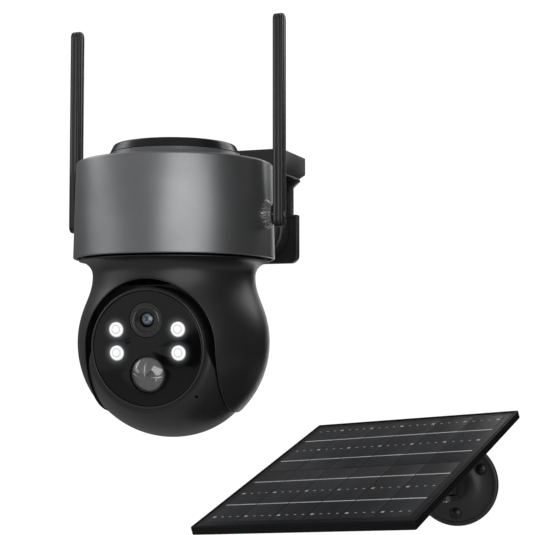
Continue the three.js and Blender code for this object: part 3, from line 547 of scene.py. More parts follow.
# Lengths are in mm from the centre of the ball. Outlines are (radius, height) unless said otherwise.
SLEEVE_BOTTOM = (55.05, BAND_BOTTOM)
SLEEVE_TOP = (53.85, 97.2)
LID_RADIUS = 49.2
LID_BORE = 31.5
LID_SEAM = 102.4  # height where the cap stands on the lid's foot
CAP_TOP = 107.8
SLEEVE_WALL = 1.8
FITTING = {"x": 27, "z": 56, "radius": 5.2, "end": 53}  # inlet and button, either side of the neck
INLET_BORE = 3.2
INLET_DEPTH = 9
ANTENNA_PIVOT = 68


def rear_hole(side):
    """Clearance through the band for the inlet or the button."""
    centre = (side * FITTING["x"], 0, FITTING["z"])
    return rod("hole", FITTING["radius"] + 0.3, 30, 60, "y", centre)


def body_sleeve():
    profile = rounded(
        [
            (*SLEEVE_BOTTOM, 0.7),
            (*SLEEVE_TOP, 1.5),
            (LID_RADIUS + 0.35, SLEEVE_TOP[1], 0.3),
            (LID_RADIUS + 0.35, SLEEVE_TOP[1] - 1.6),
            (SLEEVE_TOP[0] - SLEEVE_WALL, SLEEVE_TOP[1] - 3.2),
            (SLEEVE_BOTTOM[0] - SLEEVE_WALL, BAND_BOTTOM, 0.5),
        ],
        closed=True,
    )
    band = ring_form("metal_band", profile, sides=256)
    cut(band, rear_hole(-1), rear_hole(1))
    fit(band, HEAD, "camera_body", "gunmetal", ["body_sleeve"])


def top_cap():
    """Metal lid with a concave foot, and the glossy upright cap that stands on it."""
    lid_top = SLEEVE_TOP[1] - 0.1
    lid_bottom = lid_top - 1.8
    edge = 0.4
    foot = bezier((39.6, lid_top), (37.6, lid_top + 0.1), (36.4, lid_top + 2.6), (35.9, LID_SEAM), 14)
    lid = ring_form(
        "lid_ring",
        [
            (LID_BORE, lid_bottom), (LID_RADIUS, lid_bottom), (LID_RADIUS, lid_top - edge),
            *arc(LID_RADIUS - edge, lid_top - edge, edge, 0, 90, 4), (41, lid_top), *foot,
            (LID_BORE, LID_SEAM),
        ],
    )
    fit(lid, HEAD, "camera_body", "lid_metal", ["top_cap"])
    plug = LID_BORE - 0.3
    shoulder = (33.6, CAP_TOP - 0.7)
    crown = [(plug, LID_SEAM - 0.6), (plug, LID_SEAM + 0.1), (35.6, LID_SEAM + 0.1)]
    crown += bezier((35.8, LID_SEAM + 0.4), (34.7, LID_SEAM + 2.4), (34.3, CAP_TOP - 1.6), shoulder, 12)
    crown += bezier(shoulder, (33.2, CAP_TOP - 0.2), (32.4, CAP_TOP - 0.1), (30, CAP_TOP - 0.05), 8)[1:]
    cap = turned("cap_crown", [(0, LID_SEAM - 0.6), *crown, (0, CAP_TOP)])
    fit(cap, HEAD, "camera_body", "gloss_black", ["top_cap"])


def rear_fittings():
    """Round inlet with a pin in its bore, and the dished push button."""
    x, z, radius, end = FITTING.values()
    floor = end - INLET_DEPTH
    inlet = rounded(
        [(0, 38), (radius, 38), (radius, end, 0.8), (INLET_BORE, end, 0.4), (INLET_BORE, floor), (0, floor)]
    )
    socket = turned("lead_inlet", inlet, "y", SMALL_ROUND, (x, 0, z))
    pin = 0.9
    contact = [(0, floor - 0.2), (pin, floor - 0.2), *arc(0, end - 4, pin, 0, 90, 6)]
    joined(socket, turned("inlet_pin", contact, "y", 24, (x, 0, z)))
    fit(socket, HEAD, "camera_body", "rubber", ["charge_inlet"])
    cap = rounded([(0, 40), (radius, 40), (radius, end, 1.6), (3.4, end - 0.1, 0.6), (0, end - 0.9)])
    button = turned("press_button", cap, "y", SMALL_ROUND, (-x, 0, z))
    fit(button, HEAD, "button", "rubber", ["power_button"])


# ---- Antennas --------------------------------------------

ANTENNA = {"x": 61, "half_thickness": 2.9, "half_width": 3.75, "bottom": 61.3, "top": 176.7}
COLLAR = {"radius": 8.8, "outer": 57.6, "teeth": 20}
SIDE_GROOVES = {"offset": 1.55, "width": 0.42, "depth": 0.55}
FRONT_GROOVES = {"offset": 1.24, "width": 0.45, "depth": 0.6}


def groove_depth(grooves, place, side):
    off = (place - side * grooves["offset"]) / grooves["width"]
    return math.exp(-(off ** 2)) * grooves["depth"]


def antenna_section(steps=96):
    """Rounded bar section with two shallow grooves in each face, as (across, front to back)."""
    points = []
    half_x = ANTENNA["half_thickness"]
    half_y = ANTENNA["half_width"]
    power = 6  # squareness of the section
    for step in range(steps):
        angle = 2 * math.pi * step / steps
        c = math.cos(angle)
        s = math.sin(angle)
        reach = (abs(c) ** power + abs(s) ** power) ** (-1 / power)
        x = half_x * c * reach
        y = half_y * s * reach
        for side in (-1, 1):
            if abs(x) > half_x * 0.6:
                x -= math.copysign(groove_depth(SIDE_GROOVES, y, side), x)
            if abs(y) > half_y * 0.75:
                y -= math.copysign(groove_depth(FRONT_GROOVES, x, side), y)
        points.append((x, y))
    return points


def antenna(side, name):
    """A bar lofted upwards whose ends close in a half round."""
    x, half_x, half_y, bottom, top = ANTENNA.values()
    section = antenna_section()
    ends = [math.radians(90 * i / 14) for i in range(15)]
    lower = [(bottom + half_y * (1 - math.cos(a)), max(math.sin(a), 0.02)) for a in ends]
    upper = [(top - half_y * (1 - math.cos(a)), max(math.sin(a), 0.02)) for a in reversed(ends)]
    rows = [*lower, *upper]
    points = []
    for height, share in rows:
        thin = 1 - (1 - share) ** 2 * 0.45
        points += [(side * x + u * thin * min(1, share * 3), v * share, height) for u, v in section]
    count = len(section)
    bar = solid(name, points, end_faces(len(points), count) + bands(len(rows), count))
    face = x + half_x
    cut(bar, rod("dimple", 1.3, side * (face - 0.7), side * (face + 1), "x", (0, 0, ANTENNA_PIVOT)))
    hand = "left" if side < 0 else "right"
    fit(bar, HEAD, hand + "_antenna", "antenna_plastic", ["antenna_" + hand])


def antenna_collar(side, name):
    """Cone of ribs round the antenna's pivot, with a smooth hub in front of it."""
    radius, outer, teeth = COLLAR.values()
    # Distance from the middle of the head, share of the radius and share of the ribs' depth.
    levels = [(50.0, 1.0, 0.0), (53.0, 1.0, 0.0), (53.6, 1.0, 1.0), (56.9, 0.68, 1.0), (57.3, 0.61, 0.2)]
    rib_depth = 2.2
    steps = teeth * 8
    points = []
    for height, size, rib in levels:
        for step in range(steps):
            angle = 2 * math.pi * step / steps
            wave = max(-0.6, min(0.6, math.cos(teeth * angle))) / 1.2 + 0.5
            reach = radius * size - rib_depth * rib * (1 - wave)
            y = reach * math.cos(angle)
            z = reach * math.sin(angle)
            points.append((side * height, y, z + ANTENNA_PIVOT))
    collar = solid(name, points, end_faces(len(points), steps) + bands(len(levels), steps))
    start, end = sorted((side * 55, side * outer))
    hub = rod("hub", 5.2, start, end, "x", (0, 0, ANTENNA_PIVOT))
    saddle = rod("saddle", SLEEVE_BOTTOM[0] - 1.0, 40, 110, sides=ROUND)
    joined(collar, hub)
    cut(collar, saddle)
    node = "antenna_collar_left" if side < 0 else "antenna_collar_right"
    fit(collar, HEAD, "camera_body", "collar_metal", [node])


# ---- Wall bracket ----------------------------------------

PLATE_FRONT = 131.3
PAD = {"half": 26.5, "bottom": 51, "top": 82}
PAD_BORDER = 1.8
WEB = {"half": 22.6, "top": 105.1, "flare_half": 27, "flare_bottom": 99.5, "flare_top": 103.2}
PLATE_SCREW = {"x": 15, "z": 96}
HOOD = {"half": 30.5, "front": 91.3, "bottom": 103.3, "top": 118.6, "wall": 2.4, "chamfer": 12, "rise": 4}
NECK_RADIUS = 15
NECK_HEIGHT = 72


def wall_plate():
    """Pad below, narrower web above, a raised border round the pad and a rib down each web edge."""
    half, bottom, top = PAD.values()
    web, web_top, flare, flare_bottom, flare_top = WEB.values()
    right = [
        (half, bottom, 5), (half, top, 0.6), (web, top, 0.6),
        (web, flare_bottom), (flare, flare_top), (flare, web_top),
    ]
    left = [(-x, *rest) for x, *rest in reversed(right)]
    outline = rounded([left[-1], *right, *left[:-1]], closed=True)
    plate = eased(prism("bracket_plate", outline, PLATE_FRONT + 0.6, WALL_FACE, "y"), 0.7)
    inner = half - PAD_BORDER
    corners = [(-inner, bottom + PAD_BORDER, 3.6), (inner, bottom + PAD_BORDER, 3.6)]
    corners += [(inner, top - 1.6, 0.6), (-inner, top - 1.6, 0.6)]
    recess = prism("recess", rounded(corners, closed=True), PLATE_FRONT, PLATE_FRONT + 1.5, "y")
    places = [(side * PLATE_SCREW["x"], 0, PLATE_SCREW["z"]) for side in (-1, 1)]
    holes = [rod("hole", 2.3, PLATE_FRONT - 5, WALL_FACE + 5, "y", place, 32) for place in places]
    cut(plate, recess, *holes)
    for x in (-20.6, -18.2, 18.2, 20.6):
        rib = block("rib", (x - 0.7, PLATE_FRONT, top), (x + 0.7, PLATE_FRONT + 1.5, web_top - 0.2))
        joined(plate, eased(rib, 0.3, 2))
    fit(plate, HEAD, "camera_body", "black_plastic", ["wall_plate"])


def bracket_hood():
    """Deep shade over the plate, open below, with its lower back edge cut away."""
    half, front, bottom, top, wall, chamfer, rise = HOOD.values()
    outline = [(front, bottom), (WALL_FACE - chamfer, bottom), (WALL_FACE, bottom + rise)]
    outline += [(WALL_FACE, top), (front, top)]
    hood = eased(prism("bracket_hood_shell", outline, -half, half, "x"), 0.9, 4)
    inner = half - wall
    cut(hood, block("hollow", (-inner, front + wall, 98), (inner, WALL_FACE - 14, top - wall)))
    fit(hood, HEAD, "camera_body", "black_plastic", ["bracket_hood"])


def bracket_neck():
    """Round arm that flares into a stepped hub against the plate, as (radius, distance back)."""
    profile = rounded(
        [
            (0, 45), (NECK_RADIUS, 45), (NECK_RADIUS, 109, 6), (17.6, 114.4, 1), (18.6, 115.2, 0.6),
            (18.6, 121, 0.4), (19.8, 121.6, 0.4), (20.8, 128.5, 0.8), (20.8, 131), (0, 131),
        ]
    )
    arm = turned("bracket_arm", profile, "y", ROUND, (0, 0, NECK_HEIGHT))
    cut(arm, rod("saddle", SLEEVE_BOTTOM[0] - 0.5, 30, 120, sides=ROUND))
    fit(arm, HEAD, "camera_body", "black_plastic", ["bracket_neck"])


def cross_screw(name, radius, rise, shank, place, body, node, look="dark_screw"):
    """Domed screw head with a cross recess, facing -Y, and its shank."""
    stem = 1.6
    head = [(radius, 0, 0.2), (radius, -rise * 0.45, 0.5), (0, -rise)]
    screw = turned(name, rounded([(0, shank), (stem, shank), (stem, 0), *head]), "y", 48)
    long = radius * 0.55
    narrow = radius * 0.11
    for angle in (0, math.pi / 2):
        slot = block("slot", (-long, -rise - 1, -narrow), (long, -rise * 0.2, narrow))
        slot.data.transform(Matrix.Rotation(angle + 0.4, 4, "Y"))
        cut(screw, slot)
    fit(screw, place, body, look, [node])


def wall_screws():
    for side, node in ((-1, "wall_screw_left"), (1, "wall_screw_right")):
        place = HEAD @ Matrix.Translation((side * PLATE_SCREW["x"], PLATE_FRONT - 0.2, PLATE_SCREW["z"]))
        cross_screw("plate_" + node, 4.0, 2.4, 5.2, place, "camera_body", node, "steel")


# ---- Yoke ------------------------------------------------

YOKE_RADIUS = 52.2
YOKE_INNER = 50.2
YOKE_TOP = 44.2
YOKE_WAIST = ((44.4, 35.2), (44.4, 26.7), (48.4, 21.5), (50.6, 12.8))  # neck down to the cheeks
SLOT_HALF = 36
ARCH_CENTRE = -3.5
CEILING = 42.3
SWEEP = 51.8  # radius that the tilting ball sweeps
BALL_HALF = 34.9


def yoke_outside(name):
    """The yoke as a full turned shape: flange, concave neck and ball-shaped cheeks."""
    profile = [
        (0, YOKE_TOP),
        (51.2, YOKE_TOP),
        *arc(51.6, YOKE_TOP - 0.35, 0.35, 90, 0, 4),
        *arc(52.3, 35.7, 7.9, 93, 180, 18),
        *bezier(*YOKE_WAIST, 22)[1:],
        *arc(0, 0, YOKE_RADIUS, 13, -90, 54),
    ]
    return turned(name, profile)


def slot_outline(half):
    return [(-half, -70), (half, -70), *arc(0, ARCH_CENTRE, half, 0, 180, 96)]


def flat_ball(name, radius, half, sides=ROUND):
    """A ball turned about X and cut flat at both sides."""
    edge = math.degrees(math.asin(half / radius))
    side = arc(0, 0, radius, -edge, edge, 40)
    return turned(name, [(0, -half), *side, (0, half)], "x", sides)


def below_ceiling():
    return block("ceiling", (-60, -60, -60), (60, 60, CEILING))


def ball_form(name, radius):
    return turned(name, arc(0, 0, radius, -90, 90, 64))


def arch_path(radius, half, front):
    """The edge where the slot meets the yoke's ball, as points from one lower end to the other."""
    foot = -math.sqrt(radius ** 2 - half ** 2) + 0.5
    steps = 40
    left = [(-half, foot + (ARCH_CENTRE - foot) * i / steps) for i in range(steps)]
    arch = arc(0, ARCH_CENTRE, half, 180, 0, 90)
    right = [(half, z) for _, z in reversed(left)]
    points = []
    for x, z in [*left, *arch, *right]:
        depth = surface_depth(x, z)
        if depth is not None:
            points.append(Vector((x, front * depth, z)))
    return points


def surface_depth(x, z):
    """How far the yoke's outside is from the axis plane at (x, z), or None outside it."""
    profile = bezier(*YOKE_WAIST, 60)
    radius = math.sqrt(max(YOKE_RADIUS ** 2 - z * z, 0))
    if z > profile[-1][1]:
        for (r1, z1), (r2, z2) in zip(profile, profile[1:]):
            if z2 <= z <= z1:
                radius = r1 + (r2 - r1) * (z1 - z) / (z1 - z2)
    inside = radius ** 2 - x * x
    return math.sqrt(inside) if inside > 0.04 else None


def yoke_shell():
    """Housing with its arched slot, hollow for the ball, and the stem it turns on."""
    hollow = joined(ball_form("hollow", YOKE_INNER), flat_ball("sweep", SWEEP, SLOT_HALF))
    common(hollow, below_ceiling())
    slot = prism("slot", slot_outline(SLOT_HALF), -70, 70, "y")
    shell = cut(yoke_outside("yoke_housing"), hollow, slot)
    stem = rod("stem", 16.8, CEILING + 0.5, 54.9)
    joined(shell, stem)
    cut(shell, rod("wireway", 13, 30, 60))
    fit(shell, YOKE, "yoke", "yoke_plastic", ["yoke_shell"])
    lip = tube_along("yoke_arch_lip", arch_path(YOKE_RADIUS, SLOT_HALF + 0.25, -1), 0.42)
    fit(lip, YOKE, "yoke", "yoke_plastic")


def sector(name, start, end):
    """Everything about the X axis between two angles, from -Y towards +Z in degrees."""
    rim = arc(0, 0, 90, 180 - start, 180 - end, 12)
    return prism(name, [(0, 0), *rim], -90, 90, "x")


def yoke_rear_cover():
    cover = yoke_outside("yoke_back_cover")
    common(cover, prism("slot", slot_outline(SLOT_HALF - 0.3), 0, 70, "y"), below_ceiling())
    common(cover, sector("zone", -158, -250))
    cut(cover, ball_form("inside", YOKE_INNER + 0.1))
    fit(cover, YOKE, "yoke", "yoke_plastic", ["yoke_rear_cover"])


# ---- Ball ------------------------------------------------

BALL_RADIUS = 51.4
REAR_RADIUS = 49.3
DRUM_RADIUS = 39.5  # rounded back of the rear shell, turned about the tilt axis
FACE_SEAT = 39.0
SHELF = 32.3
SPLIT = -87  # angle where the front and rear shells meet, in degrees
WALL = 2.1
AXLE_HOLE = 6.5
MICROPHONE = (25, 0, -25.2)
DRUM = {"radius": 31.6, "back": -24, "foot": -12, "full": 2}  # upper face, clear of the yoke's arch


def beside_face(radius, back):
    """Everything beside the upper face, outside a radius, narrowing down to the ball's side."""
    inset = DRUM["radius"] - radius
    side = BALL_HALF + 0.3 - inset
    foot = DRUM["foot"] - inset
    right = [(radius - 0.6, DRUM["full"] - inset), (side, foot), (60, foot), (60, 60)]
    left = [(-x, z) for x, z in reversed(right)]
    zone = prism("beside", right + left, -60, back, "y")
    return cut(zone, rod("drum", radius, -70, 0, "y", sides=ROUND))


def front_shell():
    """Ball with a flat round seat for the window, a flat shelf on top and a small microphone hole."""
    seat_radius = math.sqrt(BALL_RADIUS ** 2 - FACE_SEAT ** 2)
    seat_angle = math.degrees(math.atan2(seat_radius, FACE_SEAT))
    outside = arc(0, 0, BALL_RADIUS, -90 + seat_angle + 1.5, 90, 90)
    rim_start = (seat_radius - 1.2, -FACE_SEAT)
    rim = bezier(rim_start, (seat_radius - 0.2, -FACE_SEAT), outside[0], outside[0], 6)
    shell = turned("ball_face_shell", [(0, -FACE_SEAT), *rim[:-1], *outside], "y")
    common(shell, eased(block("limits", (-BALL_HALF, -60, -60), (BALL_HALF, 60, SHELF)), 0.5))
    common(shell, sector("zone", SPLIT, SPLIT + 180))
    inside = flat_ball("inside", BALL_RADIUS - WALL, BALL_HALF - WALL, 96)
    common(inside, block("limits", (-60, -FACE_SEAT + 2, -60), (60, 60, SHELF - 2)))
    cut(inside, beside_face(DRUM["radius"] - 2, DRUM["back"] + 2))
    cut(shell, beside_face(DRUM["radius"], DRUM["back"]))
    microphone = rod("microphone", 0.75, -60, -20, "y", MICROPHONE, 24)
    cut(shell, inside, rod("opening", 27.5, -60, -30, "y"), rod("axle", AXLE_HOLE, -60, 60, "x"), microphone)
    fit(shell, BALL, "ball", "yoke_plastic", ["ball_front_shell"])


def rear_form(name, inset, end):
    """The rear shell's solid shape, drawn in by an inset and ending at an angle."""
    half = BALL_HALF - inset
    drum = rod("drum", DRUM_RADIUS - inset, -half, half, "x", sides=ROUND)
    zone = joined(sector("zone", end, SPLIT + 3), drum)
    return common(flat_ball(name, REAR_RADIUS - inset, half), zone)


def rear_shell():
    shell = rear_form("ball_back_shell", 0, -167)
    front = sector("front", SPLIT - 0.4, SPLIT + 180.4)
    common(front, block("limits", (-60, -60, -60), (60, 60, SHELF + 0.3)))
    cut(shell, rear_form("inside", WALL, -164), front, rod("axle", AXLE_HOLE, -60, 60, "x"))
    fit(shell, BALL, "ball", "yoke_plastic", ["ball_rear_shell"])


def face_bezel():
    profile = rounded(
        [(30.1, -39.3), (31.2, -39.3, 0.1), (31.2, -41.0, 0.5), (30.1, -41.0, 0.3)],
        closed=True,
    )
    bezel = ring_form("window_bezel", profile, axis="y")
    cut(bezel, eased(block("notch", (-0.9, -42, -32), (0.9, -40.4, -29)), 0.2))
    fit(bezel, BALL, "ball", "bezel_plastic", ["face_bezel"])


LENS = {"x": -0.3, "z": 14.7, "radius": 9.2}
PIR = {"x": -0.3, "z": -13.5, "radius": 9.5, "rim": -39.4, "rise": 4.2, "back": -36.6}
LAMP_X = 17
LAMP_ROWS = (9.7, -2.5)
SENSOR = {"x": -10.4, "z": 3.9}
WINDOW_FRONT = -40.6
LAMP_BACK = -36.4


def face_window():
    profile = rounded([(0, -39.3), (29.8, -39.3), (29.8, WINDOW_FRONT, 0.35), (0, WINDOW_FRONT)])
    window = turned("face_window", profile, "y")
    holes = [(LENS["x"], LENS["z"], LENS["radius"] + 0.15), (PIR["x"], PIR["z"], PIR["radius"] + 0.2)]
    holes.append((SENSOR["x"], SENSOR["z"], 1.5))
    holes += [(side * LAMP_X, z, LAMP_RADIUS + 0.15) for side in (-1, 1) for z in LAMP_ROWS]
    tools = [rod("hole", radius, -60, -30, "y", (x, 0, z)) for x, z, radius in holes]
    cut(window, *tools)
    fit(window, BALL, "ball", "window", ["face_glass"])


def lens_parts():
    """Stepped barrel with a domed front element, as (radius, distance back)."""
    profile = [
        (LENS["radius"], -24), (LENS["radius"], -40.3), (8.9, -40.6), (7.7, -40.6), (7.55, -40.4),
        (7.3, -40.3), (7.0, -40.35), (6.8, -40.5), (6.3, -40.55), (6.1, -40.3), (6.0, -40.0),
        (5.5, -39.95), (5.45, -39.7), (5.0, -39.65), (4.95, -39.4), (4.5, -39.35), (4.4, -39.1),
        (4.05, -39.05), (4.05, -24),
    ]
    place = (LENS["x"], 0, LENS["z"])
    barrel = ring_form("lens_housing", profile, axis="y", sides=96, centre=place)
    fit(barrel, BALL, "ball", "lens_barrel", ["lens_barrel"])
    dome = arc(0, -34.8, 4.6, -90, -35, 20)
    glass = turned("lens_element", [*dome, (LENS_RADIUS, -30), (0, -30)], "y", 96, place)
    fit(glass, BALL, "ball", "lens_glass", ["lens_glass"])


def pir_dome():
    """Dome of four bulging lenslets, parted by narrow valleys."""
    radius = PIR["radius"]
    rise = PIR["rise"]
    sphere = (radius ** 2 + rise ** 2) / (2 * rise)
    rings = 56
    sides = 144
    points = []
    for ring in range(rings + 1):
        r = radius * ring / rings
        for side in range(sides):
            angle = 2 * math.pi * side / sides
            x = r * math.cos(angle)
            z = r * math.sin(angle)
            y = PIR["rim"] - rise + sphere - math.sqrt(sphere ** 2 - r * r)
            fade = 1 - (r / radius) ** 6
            points.append((x + PIR["x"], y + fade * valley(x, z), z + PIR["z"]))
    points += [(x, PIR["back"], z) for x, _, z in points[-sides:]]
    faces = end_faces(len(points), sides)[1:] + bands(rings + 2, sides)
    faces = [face for face in faces if len({points[i] for i in face}) > 2]
    dome = solid("motion_dome", points, faces)
    fit(dome, BALL, "ball", "pir_plastic", ["pir_lens"])


LENSLETS = ((4.2, 4, 5), (-4.4, 2.2, 4.6), (4.6, -5, 3.6), (-2.6, -5.6, 4))  # across, up and radius
LENSLET_RISE = 0.45


def valley(x, z):
    """Depth of the parting, or height of the lenslet as a minus, at a point of the motion dome."""
    def groove(distance):
        return 0.32 * math.exp(-((distance / 0.28) ** 2))

    upright = groove(x + 0.2) if z > -1 else 0
    level = groove(z + 1) if x > -0.2 else 0
    slant = groove(z + 2.4 + 0.45 * x) if x < -0.2 else 0
    bulge = 0
    for centre_x, centre_z, size in LENSLETS:
        reach = min(math.hypot(x - centre_x, z - centre_z), size)
        bulge -= LENSLET_RISE * (1 + math.cos(reach / size * math.pi)) / 2
    return max(upright, level, slant) + bulge


def lamps():
    """Four slightly domed lenses, numbered from the upper left along each row."""
    front = WINDOW_FRONT
    side = LAMP_RADIUS - 0.05
    dome = arc(0, front + 9.4, 9.65, -90 + 3, -90 + 20, 8)
    profile = [(0, front - 0.25), *dome, (side, front + 0.5), (side, LAMP_BACK), (0, LAMP_BACK)]
    number = 0
    for z in LAMP_ROWS:
        for side in (-1, 1):
            number += 1
            centre = (side * LAMP_X, 0, z)
            look = f"lamp_{number}"
            looks[look] = lamp_face(f"lit_lamp_{number}", LAMPS[number - 1], LAMP_RADIUS)
            lamp = turned(f"white_lamp_{number}", profile, "y", SMALL_ROUND, centre)
            fit(lamp, BALL, "ball", look, [f"led_lens_{number}"])


def light_sensor():
    profile = [(0, -40.5), *arc(0.9, -40.1, 0.4, -90, 0, 4), (1.3, LAMP_BACK), (0, LAMP_BACK)]
    sensor = turned("ambient_sensor", profile, "y", 32, (SENSOR["x"], 0, SENSOR["z"]))
    fit(sensor, BALL, "ball", "gloss_black", ["light_sensor"])


# ---- Solar unit ------------------------------------------

BASE_RADIUS = 25.8
FLANGE = 3.4
STEM_RADIUS = 8
STEM_END = 19
SCREW_CIRCLE = 18
SCREW_ANGLES = (30, 150, 270)


def solar_base():
    """Round wall flange whose stem flares out of it, with a raised rim."""
    profile = [
        (0, 0), (BASE_RADIUS - 0.4, 0), *arc(BASE_RADIUS - 0.4, -0.4, 0.4, 90, 0, 4),
        *arc(BASE_RADIUS - 1.1, -FLANGE + 1.1, 1.1, 0, -90, 8),
        (23.6, -FLANGE), (23.2, -FLANGE + 0.35), (22.6, -FLANGE + 0.45), (17.4, -FLANGE),
        *bezier((17, -3.45), (11.5, -4), (STEM_RADIUS + 0.4, -7.5), (STEM_RADIUS, -13), 18),
        *arc(STEM_RADIUS - 0.8, -STEM_END + 0.8, 0.8, 0, -90, 5),
        (5.2, -STEM_END), (5.2, -9), (0, -9),
    ]
    base = turned("wall_base", profile, "y")
    places = [arc(0, 0, SCREW_CIRCLE, angle, angle, 1)[0] for angle in SCREW_ANGLES]
    for x, z in places:
        bore = rod("bore", 1.9, -20, 5, "y", (x, 0, z), 32)
        sink = rod("sink", 3.8, -20, -FLANGE + 1.2, "y", (x, 0, z))
        cut(base, bore, sink)
    fit(base, BASE, "camera_body", "base_plastic", ["solar_base"])
    for number, (x, z) in enumerate(places, 1):
        place = BASE @ Matrix.Translation((x, -FLANGE + 1.1, z))
        cross_screw(f"wall_screw_{number}", 3.0, 1.3, 2.0, place, "camera_body", f"base_screw_{number}")


TRAY = {"half_x": 65.65, "half_y": 73.55, "depth": 4.5, "rim": 1.6, "seat": 2.1, "corner": 1.2}


def panel_tray():
    """Shallow tray with a thin rim round the laminate, and rounded corners and edges."""
    half_x, half_y, depth, rim, seat, corner = TRAY.values()
    signs = ((-1, -1), (1, -1), (1, 1), (-1, 1))
    outline = rounded([(x * half_x, y * half_y, corner) for x, y in signs], closed=True)
    tray = eased(prism("panel_frame", outline, -depth, 0), 0.45)
    cut(tray, block("seat", (rim - half_x, rim - half_y, -seat), (half_x - rim, half_y - rim, 5)))
    fit(tray, PANEL, "solar_panel", "panel_frame", ["panel_tray"])


SHEET = (63.75, 71.25)  # half width and half depth of the laminate
SHEET_BOTTOM = -1.8
COLUMNS = 6
CELL_WIDE = 0.946  # share of the half width that the cells cover
CELL_DEEP = 0.94  # share of the half depth
CELL_GAP = 0.35  # half of the gap between columns
CELL_SEAM = 0.7  # half of the gap across the middle
LINES = (0.91, 0.68, 0.455, 0.225)  # dots and ribbons in turn, from the cells' outer ends
SHEET_TOP = -0.28
CELL_TOP = -0.2
RIBBON_TOP = -0.14


def plate(name, low, high, bottom, top, ease=0.03):
    return eased(block(name, (*low, bottom), (*high, top)), ease, 2)


def merged(name, parts):
    """Several separate solids as one object."""
    whole = bmesh.new()
    for part in parts:
        whole.from_mesh(part.data)
        bpy.data.objects.remove(part)
    mesh = bpy.data.meshes.new(name)
    whole.to_mesh(mesh)
    whole.free()
    piece = bpy.data.objects.new(name, mesh)
    scene.collection.objects.link(piece)
    return piece


def silver(name, left, right, low, high):
    """Flat strip of metal lying on the cells."""
    return plate(name, (left, low), (right, high), CELL_TOP - 0.02, RIBBON_TOP, 0.02)


def solder_dots(left, pitch, y, end_pad):
    """A large pad near one end of the cell and four small dots along it."""
    places = [(end_pad, 0.9, 0.7)]
    places += [(left + pitch * share, 0.7, 0.22) for share in (0.12, 0.36, 0.6, 0.84)]
    return [silver("dot", x - length, x + length, y - width, y + width) for x, length, width in places]


def solar_laminate():
    """Backing sheet with two halves of six cells, tinned ribbons and rows of solder dots."""
    half_x, half_y = SHEET
    sheet = plate("panel_sheet", (-half_x, -half_y), (half_x, half_y), SHEET_BOTTOM, SHEET_TOP, 0.1)
    fit(sheet, PANEL, "solar_panel", "solar_sheet", ["solar_laminate"])
    edge = half_x * CELL_WIDE
    far = half_y * CELL_DEEP
    pitch = 2 * edge / COLUMNS
    cells = []
    ribbons = []
    dots = []
    for column in range(COLUMNS):
        left = -edge + column * pitch + CELL_GAP
        right = left + pitch - 2 * CELL_GAP
        for half in (-1, 1):
            low, high = sorted((half * CELL_SEAM, half * far))
            cells.append(plate("cell", (left, low), (right, high), SHEET_TOP - 0.05, CELL_TOP))
            end_pad = right - 2.2 if half > 0 else left + 2.2
            for index, share in enumerate(LINES):
                y = half * far * share
                if index % 2:
                    ribbons.append(silver("ribbon", left - 0.1, right + 0.1, y - 0.42, y + 0.42))
                else:
                    dots += solder_dots(left, pitch, y, end_pad)
    fit(merged("panel_cells", cells), PANEL, "solar_panel", "solar_cell")
    fit(merged("panel_ribbons", ribbons), PANEL, "solar_panel", "busbar")
    fit(merged("panel_solder_dots", dots), PANEL, "solar_panel", "finger")


# ---- Everything together ---------------------------------


def dress_frame():
    """Gives every CAD node the look named after its slot, and shades its rounds smoothly.

    The lamps' slot has no such look, because each rebuilt lamp has its own; their nodes are replaced.
    """
    slots = {part["node"]: part["material_slot"] for part in frame["record"]["subparts"]}
    for name, node in frame["nodes"].items():
        mesh = node.data
        dress(mesh, looks.get(slots[name], looks["white_gear"]))
        if "custom_normal" in mesh.attributes:
            mesh.attributes.remove(mesh.attributes["custom_normal"])
        node.modifiers.new("weld", "WELD").merge_threshold = 0.01 * MM
        node.modifiers.new("sharp_edges", "EDGE_SPLIT").split_angle = SHARP


dress_frame()
body_sleeve()
top_cap()
rear_fittings()
for side, name in ((-1, "left"), (1, "right")):
    antenna(side, "aerial_" + name)
    antenna_collar(side, "aerial_collar_" + name)
wall_plate()
bracket_hood()
bracket_neck()
wall_screws()
yoke_shell()
yoke_rear_cover()
front_shell()
rear_shell()
face_bezel()
face_window()
lens_parts()
pir_dome()
lamps()
light_sensor()
solar_base()
panel_tray()
solar_laminate()

# ---- Studio ----------------------------------------------

FLOOR_HEIGHT = -0.62
FLOOR_RADIUS = 2.6


def studio_floor():
    mesh = bpy.data.meshes.new("studio_floor")
    work = bmesh.new()
    bmesh.ops.create_circle(work, cap_ends=True, radius=FLOOR_RADIUS, segments=96)
    work.to_mesh(mesh)
    work.free()
    floor = bpy.data.objects.new("studio_floor", mesh)
    floor.location = (0, 0, FLOOR_HEIGHT)
    scene.collection.objects.link(floor)
    nodes = Nodes(bpy.data.materials.new("pale_floor"))
    nodes.paint(nodes.noise(6, 2), [(0.3, 0.35), (0.7, 0.37)])
    nodes.set(Roughness=0.8)
    mesh.materials.append(nodes.owner)


def soft_box(name, bearing, height, distance, width, tall, power):
    """Area light at a bearing round the camera head, in degrees to the right of the lens's side."""
    target = Vector((0, head_origin.y, head_origin.z + 0.04))
    data = bpy.data.lights.new(name, "AREA")
    data.shape = "RECTANGLE"
    data.size = width
    data.size_y = tall
    data.energy = power
    light = bpy.data.objects.new(name, data)
    light.location = target + heading(bearing) * distance
    light.location.z = target.z + height
    light.rotation_mode = "QUATERNION"
    light.rotation_quaternion = (target - light.location).to_track_quat("-Z", "Z")
    light.visible_camera = False
    scene.collection.objects.link(light)


def heading(bearing):
    """Level direction at a bearing in degrees to the right of the way from the head to the lens."""
    towards_lens = CAMERA_PLACE - head_origin
    angle = math.atan2(towards_lens.y, towards_lens.x) + math.radians(bearing)
    return Vector((math.cos(angle), math.sin(angle), 0))


